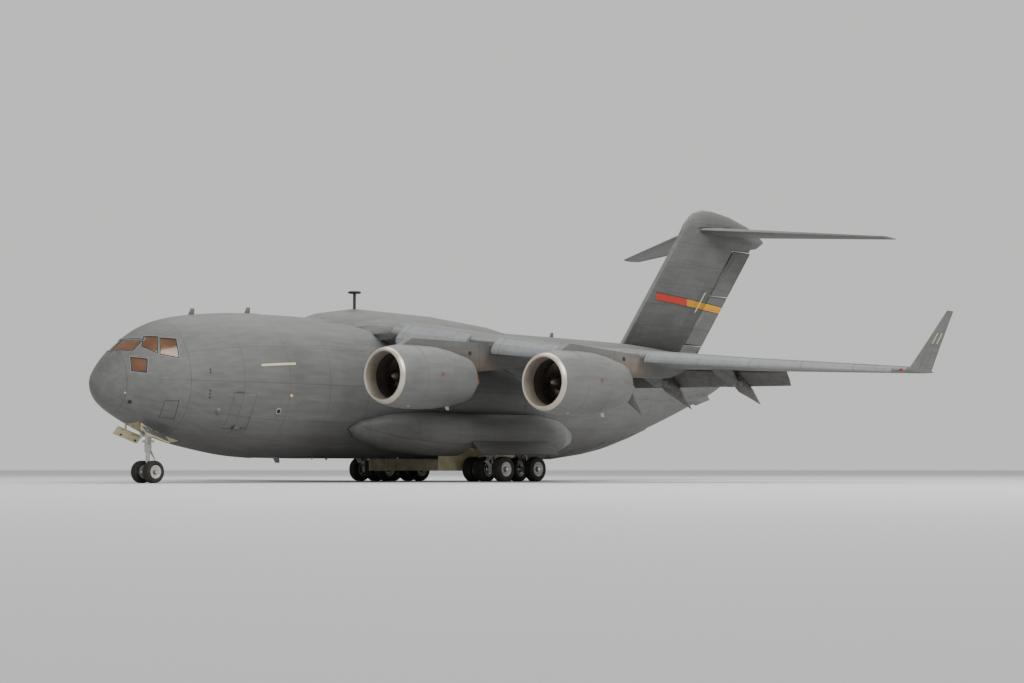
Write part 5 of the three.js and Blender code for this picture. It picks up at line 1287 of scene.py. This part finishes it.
dark, light, painted_glow, skin_bits, ramp_bits = [], [], [], [], []
for hand in HANDS.values():
    # A black disc where the probe's hole is: painted shade of the hole.
    dark.append(stud("probe_hole_shade", hulls["nose"], (1.35, hand * 1.04, -1.01), 0.09, 0.015))
    light.append(stud("port", hulls["nose"], (1.08, hand * 1.05, -0.61), 0.045, 0.02))
    for level in (0.5, 0.36, -0.45, -0.61, -0.77):
        dark.append(stud("sensor", hulls["nose"], (4.53, hand * 2.71, level), 0.034, 0.03))
    light.append(stud("lamp_ring", hulls["nose"], (8.23, hand * 3.15, -1.31), 0.15, 0.05))
    dark.append(stud("lamp_eye", hulls["nose"], (8.23, hand * 3.15, -1.31), 0.10, 0.085))
    # These lamps are painted pale warm amber as if lit: painted glow, as they give no light.
    painted_glow.append(stud("lamp", hulls["nose"], (8.83, hand * 3.38, -0.58), 0.08, 0.05, 0.7))
    skin_bits.append(stud("scoop", hulls["nose"], (5.14, hand * 2.6, -1.39), 0.17, 0.1, 0.5))
    door = bpy.data.objects["nose_door_left_skin" if hand > 0 else "nose_door_right_skin"]
    # The nose doors' two round holes are black discs on the skin: painted shade in place of open holes.
    for station, level in ((2.49, -2.47), (3.30, -2.73)):
        dark.append(stud("door_hole_shade", door, (station, hand * 1.02, level), 0.055, 0.012))
    ramp_bits.append(stud("ramp_scoop", hulls["tail"], (33.16, hand * 1.09, -3.08), 0.2, 0.12, 0.5))
aerials = []
for station, level in ((5.6, 3.17), (9.0, 3.43), (31.6, 3.43)):
    aerials.append(vane_blade("crown_aerial", station, 0, level + 0.12, 0.34, 0.34))
aerials.append(vane_blade("belly_aerial", 28.4, 0, -3.53, 0.34, 0.3, down=True))
pale_blades = [vane_blade("belly_blade", station, side, -3.52, 0.42, 0.3, down=True)
               for station, side in ((10.5, 0.45), (16.2, 0.27), (18.15, 0.0))]
finish(joined(pale_blades, "belly_blades"), "airframe", slat_paint, "body_paint")
for station, side in ((12.9, 0.41), (14.3, -0.05), (16.8, -0.23), (18.0, -0.36), (18.7, 0.58), (18.7, -0.42)):
    light.append(stud("belly_stud", hulls["middle"], (station, side, -3.41), 0.06, 0.1, 0.6))
finish(joined(aerials, "blade_aerials"), "airframe", hull_paint, "body_paint")
dark.append(rod("dome_stub", (16.14, 0, 3.9), (16.14, 0, 4.85), 0.075, 20))
dark.append(rod("dome_disc", (16.14, 0, 4.87), (16.14, 0, 4.97), 0.33, 40))
finish(joined(dark, "dark_fittings"), "airframe", black_paint, "body_paint")
finish(joined(light, "bare_fittings"), "airframe", lip_metal, "lip_metal")
finish(joined(skin_bits, "scoops"), "airframe", hull_paint, "body_paint")
finish(joined(ramp_bits, "ramp_scoops"), "ramp", hull_paint, "body_paint")

# Engine fittings: a reddish cover and a pale port on each cowl, and a drain mast under its rear
COVER_RED = "#7d4a3a"
cover_red, tree, shader = blank_material("faded_red_cover")
place = add(tree, "TexCoord").outputs["Object"]
fade = add(tree, "TexNoise", {"Vector": place, "Scale": 12.0, "Detail": 3.0})
tone = add(tree, "ValToRGB", {"Fac": fade.outputs["Fac"]})
tone.color_ramp.elements[0].color = linear("#6d4236")
tone.color_ramp.elements[1].color = linear(COVER_RED)
tree.links.new(tone.outputs["Color"], shader.inputs["Base Color"])
shader.inputs["Roughness"].default_value = 0.55
covers, ports, spots = [], [], []
for place_name, engine in ENGINES.items():
    for hand_name, hand in HANDS.items():
        cowl_skin = bpy.data.objects[f"cowl_{place_name}_{hand_name}"]
        side, lip_at, level = hand * engine["side"], engine["lip"], engine["level"]
        covers.append(stud("cover", cowl_skin, (lip_at + 2.5, side + hand * 1.49, level + 0.1), 0.09, 0.02))
        ports.append(stud("port", cowl_skin, (lip_at + 1.2, side + hand * 0.5, level - 1.4), 0.06, 0.02))
        wing_skin = bpy.data.objects[f"wing_{hand_name}_skin"]
        spots.append(stud("spot", wing_skin, (lip_at + 5.7, side + hand * 0.25, level + 1.25), 0.1, 0.02))
        ports.append(vane_blade("drain_mast", lip_at + 4.3, side, level - 1.36, 0.3, 0.26, 0.04, down=True))
finish(joined(spots, "pylon_spots"), "airframe", black_paint, "body_paint")
finish(joined(covers, "cowl_covers"), "airframe", cover_red, "body_paint")
finish(joined(ports, "cowl_ports"), "airframe", lip_metal, "lip_metal")

# Static wicks on the trailing edges, navigation lamps at the tips and strips on the winglets
WICK = 0.22
for hand_name, hand in HANDS.items():
    wicks = []
    for side in (19.4, 20.6, 21.8, 23.0, 24.0):
        edge = 28.004 + 0.234 * (side - 18.76)
        level = 0.771 - 0.034 * (side - 18.76)
        wicks.append(rod("wick", (edge - 0.05, hand * side, level), (edge + WICK, hand * side, level), 0.012, 8))
    finish(joined(wicks, f"wicks_{hand_name}"), f"aileron_{hand_name}", black_paint, "body_paint")
    winglet = bpy.data.objects[f"wing_{hand_name}_skin"]
    for k, station in enumerate((28.62, 29.06)):
        corners = [(station + 0.42, 25.75, 2.35), (station + 0.49, 25.75, 2.35),
                   (station + 0.17, 25.6, 1.85), (station + 0.10, 25.6, 1.85)]
        strip = patch(f"winglet_strip_{k}_{hand_name}", corners, winglet, 0.003, 0.008, hand, cells=4)
        finish(strip, "airframe", strip_cream, "body_paint")

for hand_name, hue in (("left", "#7c1712"), ("right", "#135c33")):
    lens, tree, shader = blank_material(f"navigation_lens_{hand_name}")
    place = add(tree, "TexCoord").outputs["Object"]
    facet = add(tree, "TexNoise", {"Vector": place, "Scale": 30.0, "Detail": 1.0})
    tone = add(tree, "ValToRGB", {"Fac": facet.outputs["Fac"]})
    tone.color_ramp.elements[0].color = linear(hue)
    tone.color_ramp.elements[1].color = [min(1.0, 1.6 * value) for value in linear(hue)]
    tree.links.new(tone.outputs["Color"], shader.inputs["Base Color"])
    shader.inputs["Roughness"].default_value = 0.12
    tip = bpy.data.objects[f"wing_{hand_name}_skin"]
    lamp = stud(f"navigation_lamp_{hand_name}", tip, (26.85, HANDS[hand_name] * 24.95, 0.6), 0.08, 0.1, 0.5)
    finish(lamp, "airframe", lens, "glazing")

# The lamps' lenses are pale warm amber so that they look lit: a painted glow, for nothing in them gives light.
painted_glow_glass, tree, shader = blank_material("warm_lamp_painted_glow")
place = add(tree, "TexCoord").outputs["Object"]
facet = add(tree, "TexNoise", {"Vector": place, "Scale": 30.0, "Detail": 1.0})
tone = add(tree, "ValToRGB", {"Fac": facet.outputs["Fac"]})
tone.color_ramp.elements[0].color = linear("#d9a25a")
tone.color_ramp.elements[1].color = linear("#f2cf96")
tree.links.new(tone.outputs["Color"], shader.inputs["Base Color"])
shader.inputs["Roughness"].default_value = 0.15
finish(joined(painted_glow, "warm_lamps_painted_glow"), "airframe", painted_glow_glass, "glazing")


# The smooth hulls have done their work
for hull in hulls.values():
    bpy.data.objects.remove(hull)

bpy.context.view_layer.update()
